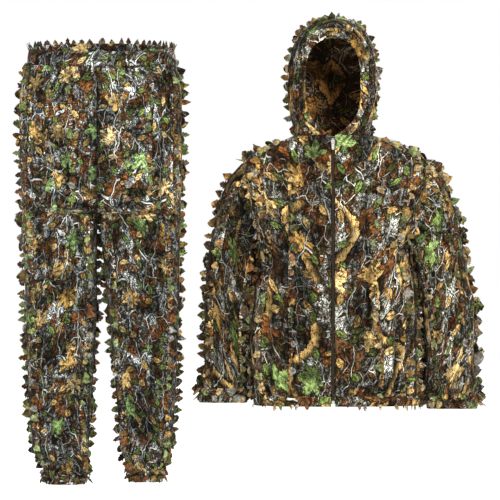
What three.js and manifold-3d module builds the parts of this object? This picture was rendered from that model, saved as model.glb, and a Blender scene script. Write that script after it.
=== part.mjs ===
// Two-piece leaf-covered camouflage suit: hooded zip jacket and pull-on trousers, worn shape, held open.
// Millimetres, +Z up. The origin is the centre of the jacket's neck seam. The wearer faces -Y, so the
// wearer's right side is on -X. The trousers hang beside the jacket on its -X side.
import * as THREE from 'three';
import { ParametricGeometry } from 'three/addons/geometries/ParametricGeometry.js';
import { mergeVertices } from 'three/addons/utils/BufferGeometryUtils.js';
import Module from 'manifold-3d';

const wasm = await Module();
wasm.setup();

// ---------------------------------------------------------------- driving dimensions
// cloth and seams
const cloth = 2.0; // printed cloth with its sewn leaf layer pressed flat
const seam = 0.4; // gap kept between pieces that are sewn together
const bandWall = 1.1; // each wall of a folded casing
const elasticThickness = 2.2;
const elasticClearance = 0.35;
const casingThickness = 2 * bandWall + elasticThickness + 2 * elasticClearance;
const roundness = 2.4; // exponent of the rounded cross-sections
const elasticMargin = 2.5; // elastic edge to the fold of its casing

// jacket body
const jacketLength = 672; // neck seam to hem edge
const hemBandHeight = 24;
const hemBandThickness = 2.6;
const neckFrontDepth = 108;
const hemFrontDepth = 122;
const neckBackDepth = 78;
const shoulderBackDepth = 102;
const chestBackDepth = 118;
const hemBackDepth = 112;
const armholeLength = 210;
const armholeDepth = 64; // half of the armhole's front-to-back size
const chestDrop = 180; // neck seam to the fullest point of the back
const waistDrop = 500;
const jacketSides = {
  right: { sign: -1, neck: 95, shoulder: 214, shoulderDrop: 60, underarm: 186, waist: 205, hem: 196 },
  left: { sign: 1, neck: 104, shoulder: 236, shoulderDrop: 66, underarm: 190, waist: 214, hem: 219 },
};

// sleeves: outward reach and drop of the outer and inner edges, and half depth, from shoulder to cuff
const cuffBandHeight = 26;
const sleeves = {
  right: {
    outer: [[262, 112], [290, 205], [311, 310], [319, 430], [318, 540], [333, 640]],
    inner: [[191, 288], [195, 320], [203, 380], [210, 460], [214, 550], [212, 640]],
    halfDepth: [69, 69, 66, 62, 59, 48],
    cuffDrop: 664,
  },
  left: {
    outer: [[286, 125], [312, 215], [334, 320], [352, 440], [352, 550], [362, 655]],
    inner: [[196, 292], [204, 325], [216, 390], [228, 470], [234, 560], [236, 655]],
    halfDepth: [69, 69, 66, 62, 59, 48],
    cuffDrop: 679,
  },
};

// hood: the crown, widest and neck outlines from the face opening to the centre back seam
const hoodHeight = 292;
const faceHeight = 243;
const faceHalfWidth = 72;
const faceWidestHeight = 142;
const faceBindingWidth = 18;
const hoodHalfWidth = 111;
const hoodBackReach = 112;
const chinHalfGap = 8;

// zip
const zipHalfGap = 5.2; // centre line to each front edge
const zipTopDrop = 12; // neck seam to the top of the closed chain
const zipBottomRise = 6; // hem edge to the lower end of the tapes
const zipFacing = 24; // flat width of each front beside the zip
const tapeWidth = 13;
const tapeThickness = 0.6;
const tapeTopLength = 5;
const coilWidth = 2.8;
const coilThickness = 2.3;
const sliderLength = 9;
const sliderHalfWidth = 4.6;
const plateThickness = 1.4;
const flangeWidth = 1.1;
const lugWidth = 3;
const lugWall = 1;
const lugTunnel = 1.8;
const pullWidth = 7;
const pullLength = 21;
const pullThickness = 1.2;
const pullEyeLength = 4.6;
const pullRail = 1.2;

// trousers, measured out from their centre seam
const trousersOffset = 585; // jacket centre line to trousers centre seam
const waistHeight = 218; // side of the waist rim above the neck seam level
const waistFrontSag = 14;
const waistBackRise = 17;
const waistBandHeight = 34;
const crotchDrop = 196; // neck seam level to the level where the legs part
const ankleBandHeight = 24;
const hipDepth = 116;
const waistDepth = 104;
const crotchDepth = 97;
const kneeDepth = 84;
const calfDepth = 72;
const ankleDepth = 47;
const riseCurve = 110; // height over which the centre seam turns under between the legs
const legs = {
  right: { sign: -1, waist: 171, hip: 195, thigh: [3, 190], knee: [3, 182], calf: [18, 174], shin: [24, 160],
    ankle: [32, 131], hemDrop: 868 },
  left: { sign: 1, waist: 188, hip: 209, thigh: [4, 206], knee: [25, 202], calf: [46, 192], shin: [58, 182],
    ankle: [80, 162], hemDrop: 862 },
};

// hip pocket
const pocketTopHeight = 160;
const pocketLength = 112;
const pocketSlitWidth = 5;
const pocketAngle = 0.56; // place of the slit round the hip from the side seam, in radians
const weltWidth = 12;
const weltThickness = 1.4;
const weltStandOff = 1.1;
const bagWall = 0.9;
const bagSpace = 3;

// leaf strips
const leafPitch = 44;
const leafReach = 19;
const leafValley = 7;
const leafThickness = 1.2;
const leafSeat = 0.4;

// ---------------------------------------------------------------- materials
const finish = (color, roughness, metalness = 0) => ({ color, roughness, metalness });
const finishes = {
  jacketCloth: finish(0x6d5433, 0.9),
  jacketBand: finish(0x5a4529, 0.9),
  trouserCloth: finish(0x7b7361, 0.9),
  trouserBand: finish(0x645a45, 0.9),
  lining: finish(0x4a3a28, 0.95),
  elastic: finish(0x262320, 0.8),
  tape: finish(0x4e3c26, 0.85),
  coil: finish(0x5b4427, 0.5),
  metal: finish(0xb9b4a6, 0.35, 0.9),
  leafBrown: finish(0xa8824a, 0.9),
  leafGreen: finish(0x7d9a4f, 0.9),
};

// ---------------------------------------------------------------- shared geometry
const { lerp, clamp } = THREE.MathUtils;

// Linear look-up of several values by one key; rows are [key, value, ...] with the key rising.
function lookUp(rows) {
  const keys = rows.map((row) => row[0]);
  const values = rows.flatMap((row) => row.slice(1));
  const interpolant = new THREE.LinearInterpolant(keys, values, rows[0].length - 1);
  return (key) => Array.from(interpolant.evaluate(clamp(key, keys[0], keys[keys.length - 1])));
}

const signedPower = (value, exponent) => Math.sign(value) * Math.abs(value) ** exponent;
const rounded = (value) => signedPower(value, 2 / roundness);

// Merges shared corners, drops empty triangles and turns the faces outward.
function closedBody(geometry) {
  geometry.deleteAttribute('normal');
  geometry.deleteAttribute('uv');
  const merged = mergeVertices(geometry, 1e-3);
  const position = merged.getAttribute('position');
  const index = merged.getIndex().array;
  const kept = [];
  let volume = 0;
  const [a, b, c] = [new THREE.Vector3(), new THREE.Vector3(), new THREE.Vector3()];
  for (let i = 0; i < index.length; i += 3) {
    const [p, q, r] = [index[i], index[i + 1], index[i + 2]];
    if (p === q || q === r || r === p) continue;
    kept.push(p, q, r);
    a.fromBufferAttribute(position, p);
    b.fromBufferAttribute(position, q);
    c.fromBufferAttribute(position, r);
    volume += a.dot(b.cross(c));
  }
  if (volume < 0) kept.reverse();
  merged.setIndex(kept);
  merged.computeVertexNormals();
  return merged;
}

// A sheet of cloth as a closed body. outer and inner give the two faces at (column, row).
function sheetBody(outer, inner, columns, rows) {
  const loop = 2 * (columns + 1);
  const place = (u, v, target) => {
    const step = Math.round(u * loop) % loop;
    const level = Math.round(v * (rows + 2));
    const row = clamp(level - 1, 0, rows);
    const capped = level === 0 || level === rows + 2;
    const onOuter = step <= columns;
    const column = onOuter ? step : loop - 1 - step;
    const face = onOuter && !capped ? outer : inner;
    face(column, row, target);
  };
  return closedBody(new ParametricGeometry(place, loop, rows + 2));
}

// A closed ring whose cross-section is a closed loop of corners; place(step, corner, target).
function ringBody(place, around, corners) {
  const at = (u, v, target) => {
    place(Math.round(u * around) % around, corners[Math.round(v * corners.length) % corners.length], target);
  };
  return closedBody(new ParametricGeometry(at, around, corners.length));
}

// Corner pairs [depth, height] of a folded casing, open at height 0 and folded at the given height.
function casingWalls(height) {
  const far = casingThickness;
  const front = [[0, 0], [0, height]];
  const back = [[far, height], [far, 0]];
  const frontInside = [[bandWall, 0], [bandWall, height - bandWall]];
  const backInside = [[far - bandWall, height - bandWall], [far - bandWall, 0]];
  return { outside: [...front, ...back], inside: [...frontInside, ...backInside] };
}

function casingCorners(height) {
  const { outside, inside } = casingWalls(height);
  return [...outside, ...inside.reverse()];
}

function elasticCorners(height) {
  const near = bandWall + elasticClearance;
  const far = near + elasticThickness;
  const top = height - bandWall - elasticClearance;
  return [[near, elasticMargin], [near, top], [far, top], [far, elasticMargin]];
}

function solidOf(geometry) {
  const body = closedBody(geometry.index ? geometry : mergeVertices(geometry));
  return new wasm.Manifold(new wasm.Mesh({
    numProp: 3,
    vertProperties: new Float32Array(body.getAttribute('position').array),
    triVerts: new Uint32Array(body.getIndex().array),
  }));
}

function geometryOf(solid) {
  const mesh = solid.getMesh();
  const geometry = new THREE.BufferGeometry();
  geometry.setAttribute('position', new THREE.Float32BufferAttribute(mesh.vertProperties, 3));
  geometry.setIndex(Array.from(mesh.triVerts));
  geometry.computeVertexNormals();
  return geometry;
}

function slab(x0, x1, y0, y1, z0, z1) {
  const box = new THREE.BoxGeometry(x1 - x0, y1 - y0, z1 - z0);
  return box.translate((x0 + x1) / 2, (y0 + y1) / 2, (z0 + z1) / 2);
}

// A flat strip of pointed leaves: the seat follows the path at the stated offset, the tips stand away
// from it. path is a list of Vector2 and outward gives the side on which the leaves stand.
function leafStripBody(path, outward) {
  const curve = new THREE.CurvePath();
  for (let i = 1; i < path.length; i += 1) {
    curve.add(new THREE.LineCurve(path[i - 1], path[i]));
  }
  const normalAt = (fraction) => {
    const tangent = curve.getTangentAt(clamp(fraction, 0.001, 0.999));
    return new THREE.Vector2(-tangent.y, tangent.x).multiplyScalar(outward);
  };
  const leaves = Math.max(2, Math.round(curve.getLength() / leafPitch));
  const corners = path.map((point, i) => {
    const before = path[Math.max(0, i - 1)];
    const after = path[Math.min(path.length - 1, i + 1)];
    const along = after.clone().sub(before).normalize();
    return point.clone().add(new THREE.Vector2(-along.y, along.x).multiplyScalar(outward * leafSeat));
  });
  for (let i = 2 * leaves; i >= 0; i -= 1) {
    const fraction = i / (2 * leaves);
    const reach = i % 2 ? leafReach : leafValley;
    corners.push(curve.getPointAt(fraction).clone().add(normalAt(fraction).multiplyScalar(reach)));
  }
  const strip = new THREE.ExtrudeGeometry(new THREE.Shape(corners), { depth: leafThickness, bevelEnabled: false });
  return strip.translate(0, 0, -leafThickness / 2);
}

// Strips drawn in (x, z) stand in the plane of the side seams; strips drawn in (y, z) stand fore and aft.
const sideways = new THREE.Matrix4().makeBasis(
  new THREE.Vector3(1, 0, 0), new THREE.Vector3(0, 0, 1), new THREE.Vector3(0, -1, 0));
const foreAndAft = new THREE.Matrix4().makeBasis(
  new THREE.Vector3(0, 1, 0), new THREE.Vector3(0, 0, 1), new THREE.Vector3(1, 0, 0));

function sideStrip(path, outward) {
  return closedBody(leafStripBody(path, outward).applyMatrix4(sideways));
}

function foreStrip(path, outward, x) {
  return closedBody(leafStripBody(path, outward).applyMatrix4(foreAndAft).translate(x, 0, 0));
}

const suit = new THREE.Group();

function add(name, geometry, look, parent = suit) {
  const mesh = new THREE.Mesh(geometry, new THREE.MeshStandardMaterial(look));
  mesh.name = name;
  parent.add(mesh);
  return mesh;
}

// ---------------------------------------------------------------- jacket body
const frontDepthAt = (z) => lerp(neckFrontDepth, hemFrontDepth, -z / jacketLength);

function backDepthTable() {
  return lookUp([
    [-jacketLength, hemBackDepth],
    [-waistDrop, hemBackDepth],
    [-chestDrop, chestBackDepth],
    [-jacketSides.right.shoulderDrop, shoulderBackDepth],
    [0, neckBackDepth],
  ]);
}
const backDepthAt = backDepthTable();

function jacketEdgeTable(side) {
  return lookUp([
    [-jacketLength, side.hem],
    [-waistDrop, side.waist],
    [-(side.shoulderDrop + armholeLength), side.underarm],
    [-side.shoulderDrop, side.shoulder],
    [0, side.neck],
  ]);
}

for (const side of Object.values(jacketSides)) {
  side.edgeAt = jacketEdgeTable(side);
}

// Half opening of the armhole, front to back, at a height; nothing above the shoulder or below the underarm.
function armholeAt(side, z) {
  const middle = -(side.shoulderDrop + armholeLength / 2);
  const share = Math.abs(z - middle) / (armholeLength / 2);
  return share < 1 ? armholeDepth * (1 - share ** roundness) ** (1 / roundness) : 0;
}

function jacketRows(side) {
  const drops = [seam / 2];
  for (const share of [0.5, 1]) drops.push(side.shoulderDrop * share);
  for (const share of [0.06, 0.2, 0.5, 0.8, 0.94, 1]) drops.push(side.shoulderDrop + armholeLength * share);
  const underarm = side.shoulderDrop + armholeLength;
  const hemTop = jacketLength - hemBandHeight - seam;
  for (const share of [0.3, 0.65, 1]) drops.push(lerp(underarm, hemTop, share));
  return drops.map((drop) => -drop);
}

// A point of the body, at an angle from the centre line (0) to the side (a right angle), at a height.
function jacketPoint(side, front, turn, z, inset, target) {
  const hole = armholeAt(side, z);
  const sideInset = inset * (1 - Math.min(1, hole / cloth));
  const edge = side.edgeAt(z)[0] - sideInset;
  const gap = Math.max(hole - inset * Math.min(1, hole / cloth), seam / 2);
  const depth = (front ? frontDepthAt(z) : backDepthAt(z)[0]) - inset;
  const x = edge * rounded(Math.sin(turn));
  const y = gap + (depth - gap) * rounded(Math.cos(turn));
  return target.set(side.sign * x, front ? -y : y, z);
}

function turnAtWidth(side, z, width) {
  return Math.asin((width / side.edgeAt(z)[0]) ** (roundness / 2));
}

function jacketFront(side) {
  const rows = jacketRows(side);
  const columns = 7;
  const face = (inset) => (column, row, target) => {
    const z = rows[row];
    const flat = turnAtWidth(side, z, zipFacing);
    const spread = lerp(flat, Math.PI / 2, (column - 1) / (columns - 1));
    const turn = column === 0 ? turnAtWidth(side, z, zipHalfGap) : spread;
    jacketPoint(side, true, turn, z, inset, target);
    if (column === 0) target.x = side.sign * zipHalfGap;
  };
  return sheetBody(face(0), face(cloth), columns, rows.length - 1);
}

function jacketBack() {
  const columns = 12;
  const rightRows = jacketRows(jacketSides.right);
  const leftRows = jacketRows(jacketSides.left);
  const face = (inset) => (column, row, target) => {
    const share = (2 * column) / columns - 1;
    const side = share < 0 ? jacketSides.right : jacketSides.left;
    const sideZ = (share < 0 ? rightRows : leftRows)[row];
    const middleZ = (rightRows[row] + leftRows[row]) / 2;
    const z = lerp(middleZ, sideZ, Math.abs(share) ** 0.5);
    jacketPoint(side, false, (Math.abs(share) * Math.PI) / 2, z, inset, target);
  };
  return sheetBody(face(0), face(cloth), columns, rightRows.length - 1);
}

// Places round the hem from the right front edge over the back to the left front edge.
function hemStops() {
  const shares = [0.25, 0.5, 0.75, 1];
  const half = (side) => (z) => {
    const flat = turnAtWidth(side, z, zipFacing);
    const front = [turnAtWidth(side, z, zipHalfGap), flat, ...shares.map((share) => lerp(flat, Math.PI / 2, share))];
    const back = [0.75, 0.5, 0.25, 0].map((share) => (share * Math.PI) / 2);
    return [...front.map((turn) => [side, true, turn]), ...back.map((turn) => [side, false, turn])];
  };
  const [right, left] = [half(jacketSides.right), half(jacketSides.left)];
  return (z) => [...right(z), ...left(z).reverse().slice(1)];
}

function hemBand() {
  const stops = hemStops();
  const rows = [-(jacketLength - hemBandHeight), -jacketLength];
  const last = stops(0).length - 1;
  const face = (inset) => (column, row, target) => {
    const [side, front, turn] = stops(rows[row])[column];
    jacketPoint(side, front, turn, rows[row], inset, target);
    if (column === 0 || column === last) target.x = side.sign * zipHalfGap;
    if (turn > Math.PI / 2 - 1e-9) target.y = 0;
  };
  return sheetBody(face(0), face(hemBandThickness), last, 1);
}

const neckTapeThickness = 0.8;
const neckTapeInset = cloth + 1.7;

function neckTape() {
  const columns = 8;
  const spread = 0.95;
  const rows = [-2, -14];
  const face = (inset) => (column, row, target) => {
    const share = (2 * column) / columns - 1;
    const side = share < 0 ? jacketSides.right : jacketSides.left;
    jacketPoint(side, false, Math.abs(share) * spread, rows[row], inset, target);
  };
  return sheetBody(face(neckTapeInset), face(neckTapeInset + neckTapeThickness), columns, 1);
}

const hangLoopWidth = 34;
const hangLoopDrop = 22;
const hangLoopTape = 5;
const hangLoopCorner = 3.5;
const hangLoopThickness = 1.2;

function hangLoop() {
  const halfWidth = hangLoopWidth / 2;
  const outline = new THREE.Shape();
  outline.moveTo(-halfWidth, 0).lineTo(-halfWidth, -hangLoopDrop + hangLoopCorner);
  outline.lineTo(-halfWidth + hangLoopCorner, -hangLoopDrop).lineTo(halfWidth - hangLoopCorner, -hangLoopDrop);
  outline.lineTo(halfWidth, -hangLoopDrop + hangLoopCorner).lineTo(halfWidth, 0);
  const hole = new THREE.Path();
  const low = -hangLoopDrop + hangLoopTape;
  hole.moveTo(-halfWidth + hangLoopTape, -hangLoopTape).lineTo(halfWidth - hangLoopTape, -hangLoopTape);
  hole.lineTo(halfWidth - hangLoopTape, low).lineTo(-halfWidth + hangLoopTape, low);
  outline.holes.push(hole);
  const loop = new THREE.ExtrudeGeometry(outline, { depth: hangLoopThickness, bevelEnabled: false });
  loop.rotateX(Math.PI / 2);
  const inside = neckBackDepth - neckTapeInset - neckTapeThickness;
  return closedBody(loop.translate(0, inside - 0.5, -3));
}

add('jacket_front_right', jacketFront(jacketSides.right), finishes.jacketCloth);
add('jacket_front_left', jacketFront(jacketSides.left), finishes.jacketCloth);
add('jacket_back', jacketBack(), finishes.jacketCloth);
add('jacket_hem_band', hemBand(), finishes.jacketBand);
add('neck_tape', neckTape(), finishes.lining);
add('hang_loop', hangLoop(), finishes.lining);

// ---------------------------------------------------------------- sleeves
const sleeveColumns = 16;

function sleeveStations(side, sleeve) {
  const start = side.shoulderDrop;
  const outer = [[side.shoulder, start], ...sleeve.outer];
  const inner = [[side.underarm, start + armholeLength], ...sleeve.inner];
  const depths = [armholeDepth, ...sleeve.halfDepth];
  const rows = depths.map((depth, i) => [i, ...outer[i], ...inner[i], depth]);
  return { at: lookUp(rows), count: rows.length - 1 };
}

// A point on a sleeve ring: angle 0 is the outer edge, half a turn the inner edge.
function sleevePoint(side, values, angle, inset, lift, target) {
  const [outerX, outerDrop, innerX, innerDrop, depth] = values;
  const across = new THREE.Vector2(outerX - innerX, innerDrop - outerDrop);
  const half = across.length() / 2;
  across.normalize();
  const reach = (half - inset) * rounded(Math.cos(angle));
  const x = (outerX + innerX) / 2 + across.x * reach + across.y * lift;
  const z = -(outerDrop + innerDrop) / 2 + across.y * reach - across.x * lift;
  return target.set(side.sign * x, (depth - inset) * rounded(Math.sin(angle)), z);
}

function cuffValues(side, sleeve, share) {
  const { at, count } = sleeveStations(side, sleeve);
  const last = at(count);
  const drop = lerp(sleeve.cuffDrop - cuffBandHeight, sleeve.cuffDrop, share);
  return [last[0], drop, last[2], drop, last[4]];
}

function sleeveBody(side, sleeve) {
  const { at, count } = sleeveStations(side, sleeve);
  const levels = [0, 0.5, 1, 1.5, 2, 3, 4, 5, count];
  const last = levels.length - 1;
  const top = levels.map((level, i) => [i, 0]);
  const bottom = levels.map((level, i) => [last - i, cloth]);
  const place = (step, [level, inset], target) => {
    const values = at(levels[level]);
    if (level === last) {
      values[1] = sleeve.cuffDrop - cuffBandHeight - seam;
      values[3] = values[1];
    }
    const lift = level === 0 ? seam : 0;
    sleevePoint(side, values, (step / sleeveColumns) * 2 * Math.PI, inset, lift, target);
  };
  return ringBody(place, sleeveColumns, [...top, ...bottom]);
}

function cuffRing(side, sleeve, corners) {
  const place = (step, [depth, height], target) => {
    const values = cuffValues(side, sleeve, height / cuffBandHeight);
    sleevePoint(side, values, (step / sleeveColumns) * 2 * Math.PI, depth, 0, target);
  };
  return ringBody(place, sleeveColumns, corners);
}

function sleeveStrip(side, sleeve) {
  const { at } = sleeveStations(side, sleeve);
  const path = [1.5, 2, 3, 4, 5, 5.7].map((level) => {
    const values = at(level);
    return new THREE.Vector2(side.sign * values[0], -values[1]);
  });
  return sideStrip(path, side.sign);
}

for (const name of ['right', 'left']) {
  const side = jacketSides[name];
  const sleeve = sleeves[name];
  add(`sleeve_${name}`, sleeveBody(side, sleeve), finishes.jacketCloth);
  add(`cuff_casing_${name}`, cuffRing(side, sleeve, casingCorners(cuffBandHeight)), finishes.jacketBand);
  add(`cuff_elastic_${name}`, cuffRing(side, sleeve, elasticCorners(cuffBandHeight)), finishes.elastic);
  add(`leaf_strip_sleeve_${name}`, sleeveStrip(side, sleeve), finishes.leafBrown);
}

// ---------------------------------------------------------------- jacket leaf strips
function jacketRowStrip(side, front, x, firstRow) {
  const rightRows = jacketRows(jacketSides.right);
  const middleRows = jacketRows(jacketSides.left).map((z, i) => (z + rightRows[i]) / 2);
  const rows = front ? jacketRows(side) : middleRows;
  const path = rows.slice(firstRow).map((z) => {
    const point = jacketPoint(side, front, turnAtWidth(side, z, Math.abs(x)), z, 0, new THREE.Vector3());
    return new THREE.Vector2(point.y, z);
  });
  return foreStrip(path, front ? -1 : 1, x);
}

add('leaf_strip_front_right', jacketRowStrip(jacketSides.right, true, -97, 4), finishes.leafBrown);
add('leaf_strip_front_left', jacketRowStrip(jacketSides.left, true, 110, 4), finishes.leafBrown);
add('leaf_strip_back', jacketRowStrip(jacketSides.left, false, 0, 4), finishes.leafBrown);

// ---------------------------------------------------------------- zip
const zipLength = jacketLength - zipTopDrop - zipBottomRise;
const zipFront = (drop) => -frontDepthAt(-drop);
const zipLine = new THREE.Group();
zipLine.position.set(0, zipFront(zipTopDrop), -zipTopDrop);
zipLine.rotation.x = -Math.atan2(hemFrontDepth - neckFrontDepth, jacketLength);
suit.add(zipLine);

const chainTop = -sliderLength / 2;
const stopLength = 8;
const tapeFront = cloth + 1.1;
const coilBack = tapeFront - 0.3;

function zipHalf(sign) {
  const inner = 0.2;
  const xs = [sign * inner, sign * (inner + tapeWidth)].sort((a, b) => a - b);
  const coilXs = [sign * inner, sign * (inner + coilWidth)].sort((a, b) => a - b);
  const tapeBack = tapeFront + tapeThickness;
  return {
    tape: slab(...xs, tapeFront, tapeBack, -zipLength, tapeTopLength),
    coil: slab(...coilXs, coilBack - coilThickness, coilBack, -zipLength + stopLength + seam, chainTop),
    stop: slab(...coilXs, coilBack - coilThickness, coilBack, 0.8, 3.2),
  };
}

function lugBody() {
  const reach = lugTunnel + lugWall;
  const half = lugTunnel / 2 + lugWall;
  const front = coilBack - coilThickness - 0.4 - plateThickness;
  const edge = lugTunnel / 2;
  const block = solidOf(slab(-lugWidth / 2, lugWidth / 2, -reach, 0.2, -half, half));
  const lug = geometryOf(block.subtract(solidOf(slab(-lugWidth, lugWidth, -lugTunnel, 0, -edge, edge))));
  return lug.translate(0, front, -sliderLength / 2);
}

function sliderBody() {
  const plateBack = coilBack - coilThickness - 0.4;
  const plateFront = plateBack - plateThickness;
  const flangeInner = sliderHalfWidth - flangeWidth;
  const flangeBack = coilBack;
  const plate = slab(-sliderHalfWidth, sliderHalfWidth, plateFront, plateBack, -sliderLength, -0.2);
  const parts = [
    slab(-sliderHalfWidth, -flangeInner, plateBack - 0.2, flangeBack, -sliderLength, -0.2),
    slab(flangeInner, sliderHalfWidth, plateBack - 0.2, flangeBack, -sliderLength, -0.2),
    lugBody(),
  ];
  const whole = parts.reduce((sum, part) => sum.add(solidOf(part)), solidOf(plate));
  return geometryOf(whole);
}

function pullBody() {
  const half = pullWidth / 2;
  const outline = new THREE.Shape();
  const top = pullRail / 2;
  outline.moveTo(-half, top).lineTo(half, top).lineTo(half, top - pullLength * 0.85);
  outline.lineTo(half * 0.5, top - pullLength).lineTo(-half * 0.5, top - pullLength);
  outline.lineTo(-half, top - pullLength * 0.85);
  const eyeHalf = half - pullRail;
  const tab = new THREE.ExtrudeGeometry(outline, { depth: pullThickness, bevelEnabled: false });
  const eye = slab(-eyeHalf, eyeHalf, -top - pullEyeLength, -top, -pullThickness, 2 * pullThickness);
  const pull = geometryOf(solidOf(tab).subtract(solidOf(eye)));
  pull.translate(0, 0, -pullThickness / 2).rotateX(Math.PI / 2);
  const plateFront = coilBack - coilThickness - 0.4 - plateThickness;
  return pull.translate(0, plateFront - lugTunnel / 2, -sliderLength / 2);
}

for (const [name, sign] of [['right', -1], ['left', 1]]) {
  const half = zipHalf(sign);
  add(`zip_tape_${name}`, half.tape, finishes.tape, zipLine);
  add(`zip_coil_${name}`, half.coil, finishes.coil, zipLine);
  add(`zip_top_stop_${name}`, half.stop, finishes.metal, zipLine);
}
const boxHalf = coilWidth + 0.8;
const bottomBox = slab(-boxHalf, boxHalf, coilBack - coilThickness, coilBack, -zipLength, -zipLength + stopLength);
add('zip_bottom_box', bottomBox, finishes.metal, zipLine);
add('zip_slider', sliderBody(), finishes.metal, zipLine);
add('zip_pull', pullBody(), finishes.metal, zipLine);

// ---------------------------------------------------------------- hood
// Stations from the face opening to the centre back seam: widest half width, neck half width, crown
// height, height of the widest point, then how far back the neck, widest and crown points lie.
const hoodEdge = seam / 2 + cloth;
const hoodAt = lookUp([
  [0, faceHalfWidth, chinHalfGap, faceHeight, faceWidestHeight, -neckFrontDepth, -92, -96],
  [1, faceHalfWidth + faceBindingWidth, chinHalfGap + faceBindingWidth * 0.9, faceHeight + 24,
    faceWidestHeight, -neckFrontDepth + 1, -78, -84],
  [2, hoodHalfWidth - 4, 62, hoodHeight - 4, 138, -92, -42, -48],
  [3, hoodHalfWidth, 92, hoodHeight, 135, -30, 4, 2],
  [4, hoodHalfWidth - 18, 82, hoodHeight - 8, 130, 34, 66, 52],
  [5, 50, 48, hoodHeight - 34, 125, 68, hoodBackReach - 8, 90],
  [6, hoodEdge, hoodEdge, hoodHeight - 72, 120, neckBackDepth, hoodBackReach, 104],
]);

// Share 0 is the neck seam and 1 the crown seam.
function hoodPoint(sign, station, share, target) {
  const [wide, neck, crown, middle, neckY, wideY, crownY] = hoodAt(station);
  const flare = lerp(4, 2.4, clamp(station, 0, 2) / 2);
  const crownGap = Math.min(hoodEdge, wide);
  const backSeam = station === 6 ? cloth : 0;
  if (share < 0.5) {
    const down = 1 - share * 2;
    const x = neck + (wide - neck) * (1 - down ** flare) - backSeam;
    const y = lerp(wideY, neckY, down ** 1.6);
    return target.set(sign * x, y, lerp(middle, seam / 2, down));
  }
  const climb = ((share - 0.5) * 2 * Math.PI) / 2;
  const x = crownGap + (wide - crownGap) * rounded(Math.cos(climb));
  const rise = rounded(Math.sin(climb));
  const seamShift = Math.max(backSeam, share === 1 ? cloth : 0);
  return target.set(sign * (x - seamShift), lerp(wideY, crownY, rise ** 1.5), lerp(middle, crown, rise));
}

const hoodShares = [0, 0.14, 0.3, 0.5, 0.62, 0.74, 0.86, 0.94, 1];

// Moves a hood point inward by the stated depth, keeping the neck edge level and the seam edges apart.
function hoodInset(sign, station, share, depth, target) {
  const step = 0.02;
  const s0 = clamp(station, step, 6 - step);
  const h0 = clamp(share, step, 1 - step);
  const point = (a, b) => hoodPoint(sign, a, b, new THREE.Vector3());
  const alongStation = point(s0 + step, h0).sub(point(s0 - step, h0));
  const alongShare = point(s0, h0 + step).sub(point(s0, h0 - step));
  const normal = alongStation.cross(alongShare).normalize();
  hoodPoint(sign, station, share, target);
  const centre = new THREE.Vector3(0, 0, faceWidestHeight);
  if (normal.dot(centre.clone().sub(target)) < 0) normal.negate();
  if (share === 0) normal.z = 0;
  if (share === 0) normal.normalize();
  target.addScaledVector(normal, depth);
  target.x = sign * Math.max(seam / 2, sign * target.x);
  return target;
}

function hoodPanel(sign) {
  const stations = [1 + seam / faceBindingWidth, 1.5, 2, 2.5, 3, 3.5, 4, 4.5, 5, 5.5, 6];
  const face = (depth) => (column, row, target) => {
    hoodInset(sign, stations[column], hoodShares[row], depth, target);
  };
  return sheetBody(face(0), face(cloth), stations.length - 1, hoodShares.length - 1);
}

// The face edge runs from the chin over the forehead to the chin again; reach 0 is the seam with the hood
// panels and 1 the edge of the opening.
function faceEdge(step, reach, depth, target) {
  const last = hoodShares.length - 1;
  const sign = step <= last ? -1 : 1;
  const share = hoodShares[step <= last ? step : 2 * last - step];
  hoodInset(sign, 0, share, depth, target);
  target.lerp(hoodInset(sign, 1, share, depth, new THREE.Vector3()), 1 - reach);
  if (step === last) target.x = 0;
}

function faceBinding() {
  const { outside, inside } = casingWalls(faceBindingWidth);
  const face = (walls) => (column, row, target) => {
    const [depth, height] = walls[column];
    faceEdge(row, height / faceBindingWidth, depth, target);
  };
  return sheetBody(face(outside), face(inside), 3, 2 * (hoodShares.length - 1));
}

function crestStrip() {
  const path = [];
  for (const station of [1.2, 1.6, 2, 2.5, 3, 3.5, 4, 4.5, 5, 5.5, 6]) {
    const [, , crown, , , , crownY] = hoodAt(station);
    path.push(new THREE.Vector2(crownY, crown));
  }
  const [, , crown, middle, , wideY] = hoodAt(6);
  path.push(new THREE.Vector2(wideY, lerp(crown, middle, 0.6)));
  path.forEach((point) => point.y += 0.4);
  return foreStrip(path, 1, 0);
}

add('hood_panel_right', hoodPanel(-1), finishes.jacketCloth);
add('hood_panel_left', hoodPanel(1), finishes.jacketCloth);
add('face_binding', faceBinding(), finishes.jacketBand);
add('leaf_strip_hood', crestStrip(), finishes.leafGreen);

// ---------------------------------------------------------------- trousers
const trousers = new THREE.Group();
trousers.position.x = -trousersOffset;
suit.add(trousers);

const depthAt = lookUp([
  [-legs.right.hemDrop, ankleDepth],
  [-legs.right.hemDrop + ankleBandHeight + 14, ankleDepth + 4],
  [-785, calfDepth - 8],
  [-660, calfDepth],
  [-410, kneeDepth],
  [-crotchDrop, crotchDepth],
  [15, hipDepth],
  [100, hipDepth],
  [waistHeight - waistBandHeight, waistDepth],
  [waistHeight, waistDepth],
]);

for (const leg of Object.values(legs)) {
  // inner and outer edge of this side, out from the centre seam
  leg.edgesAt = lookUp([
    [-leg.hemDrop, ...leg.ankle],
    [-leg.hemDrop + ankleBandHeight + 14, leg.ankle[0] - 4, leg.ankle[1] + 4],
    [-785, ...leg.shin],
    [-660, ...leg.calf],
    [-410, ...leg.knee],
    [-crotchDrop, ...leg.thigh],
    [15, 0, leg.hip],
    [100, 0, leg.hip],
    [waistHeight - waistBandHeight, 0, leg.waist + 6],
    [waistHeight, 0, leg.waist],
  ]);
}

const rimHeight = (leg, sine) => {
  const share = Math.abs(rounded(sine)) ** 1.5;
  return waistHeight + (sine < 0 ? -waistFrontSag : waistBackRise) * share;
};

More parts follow.
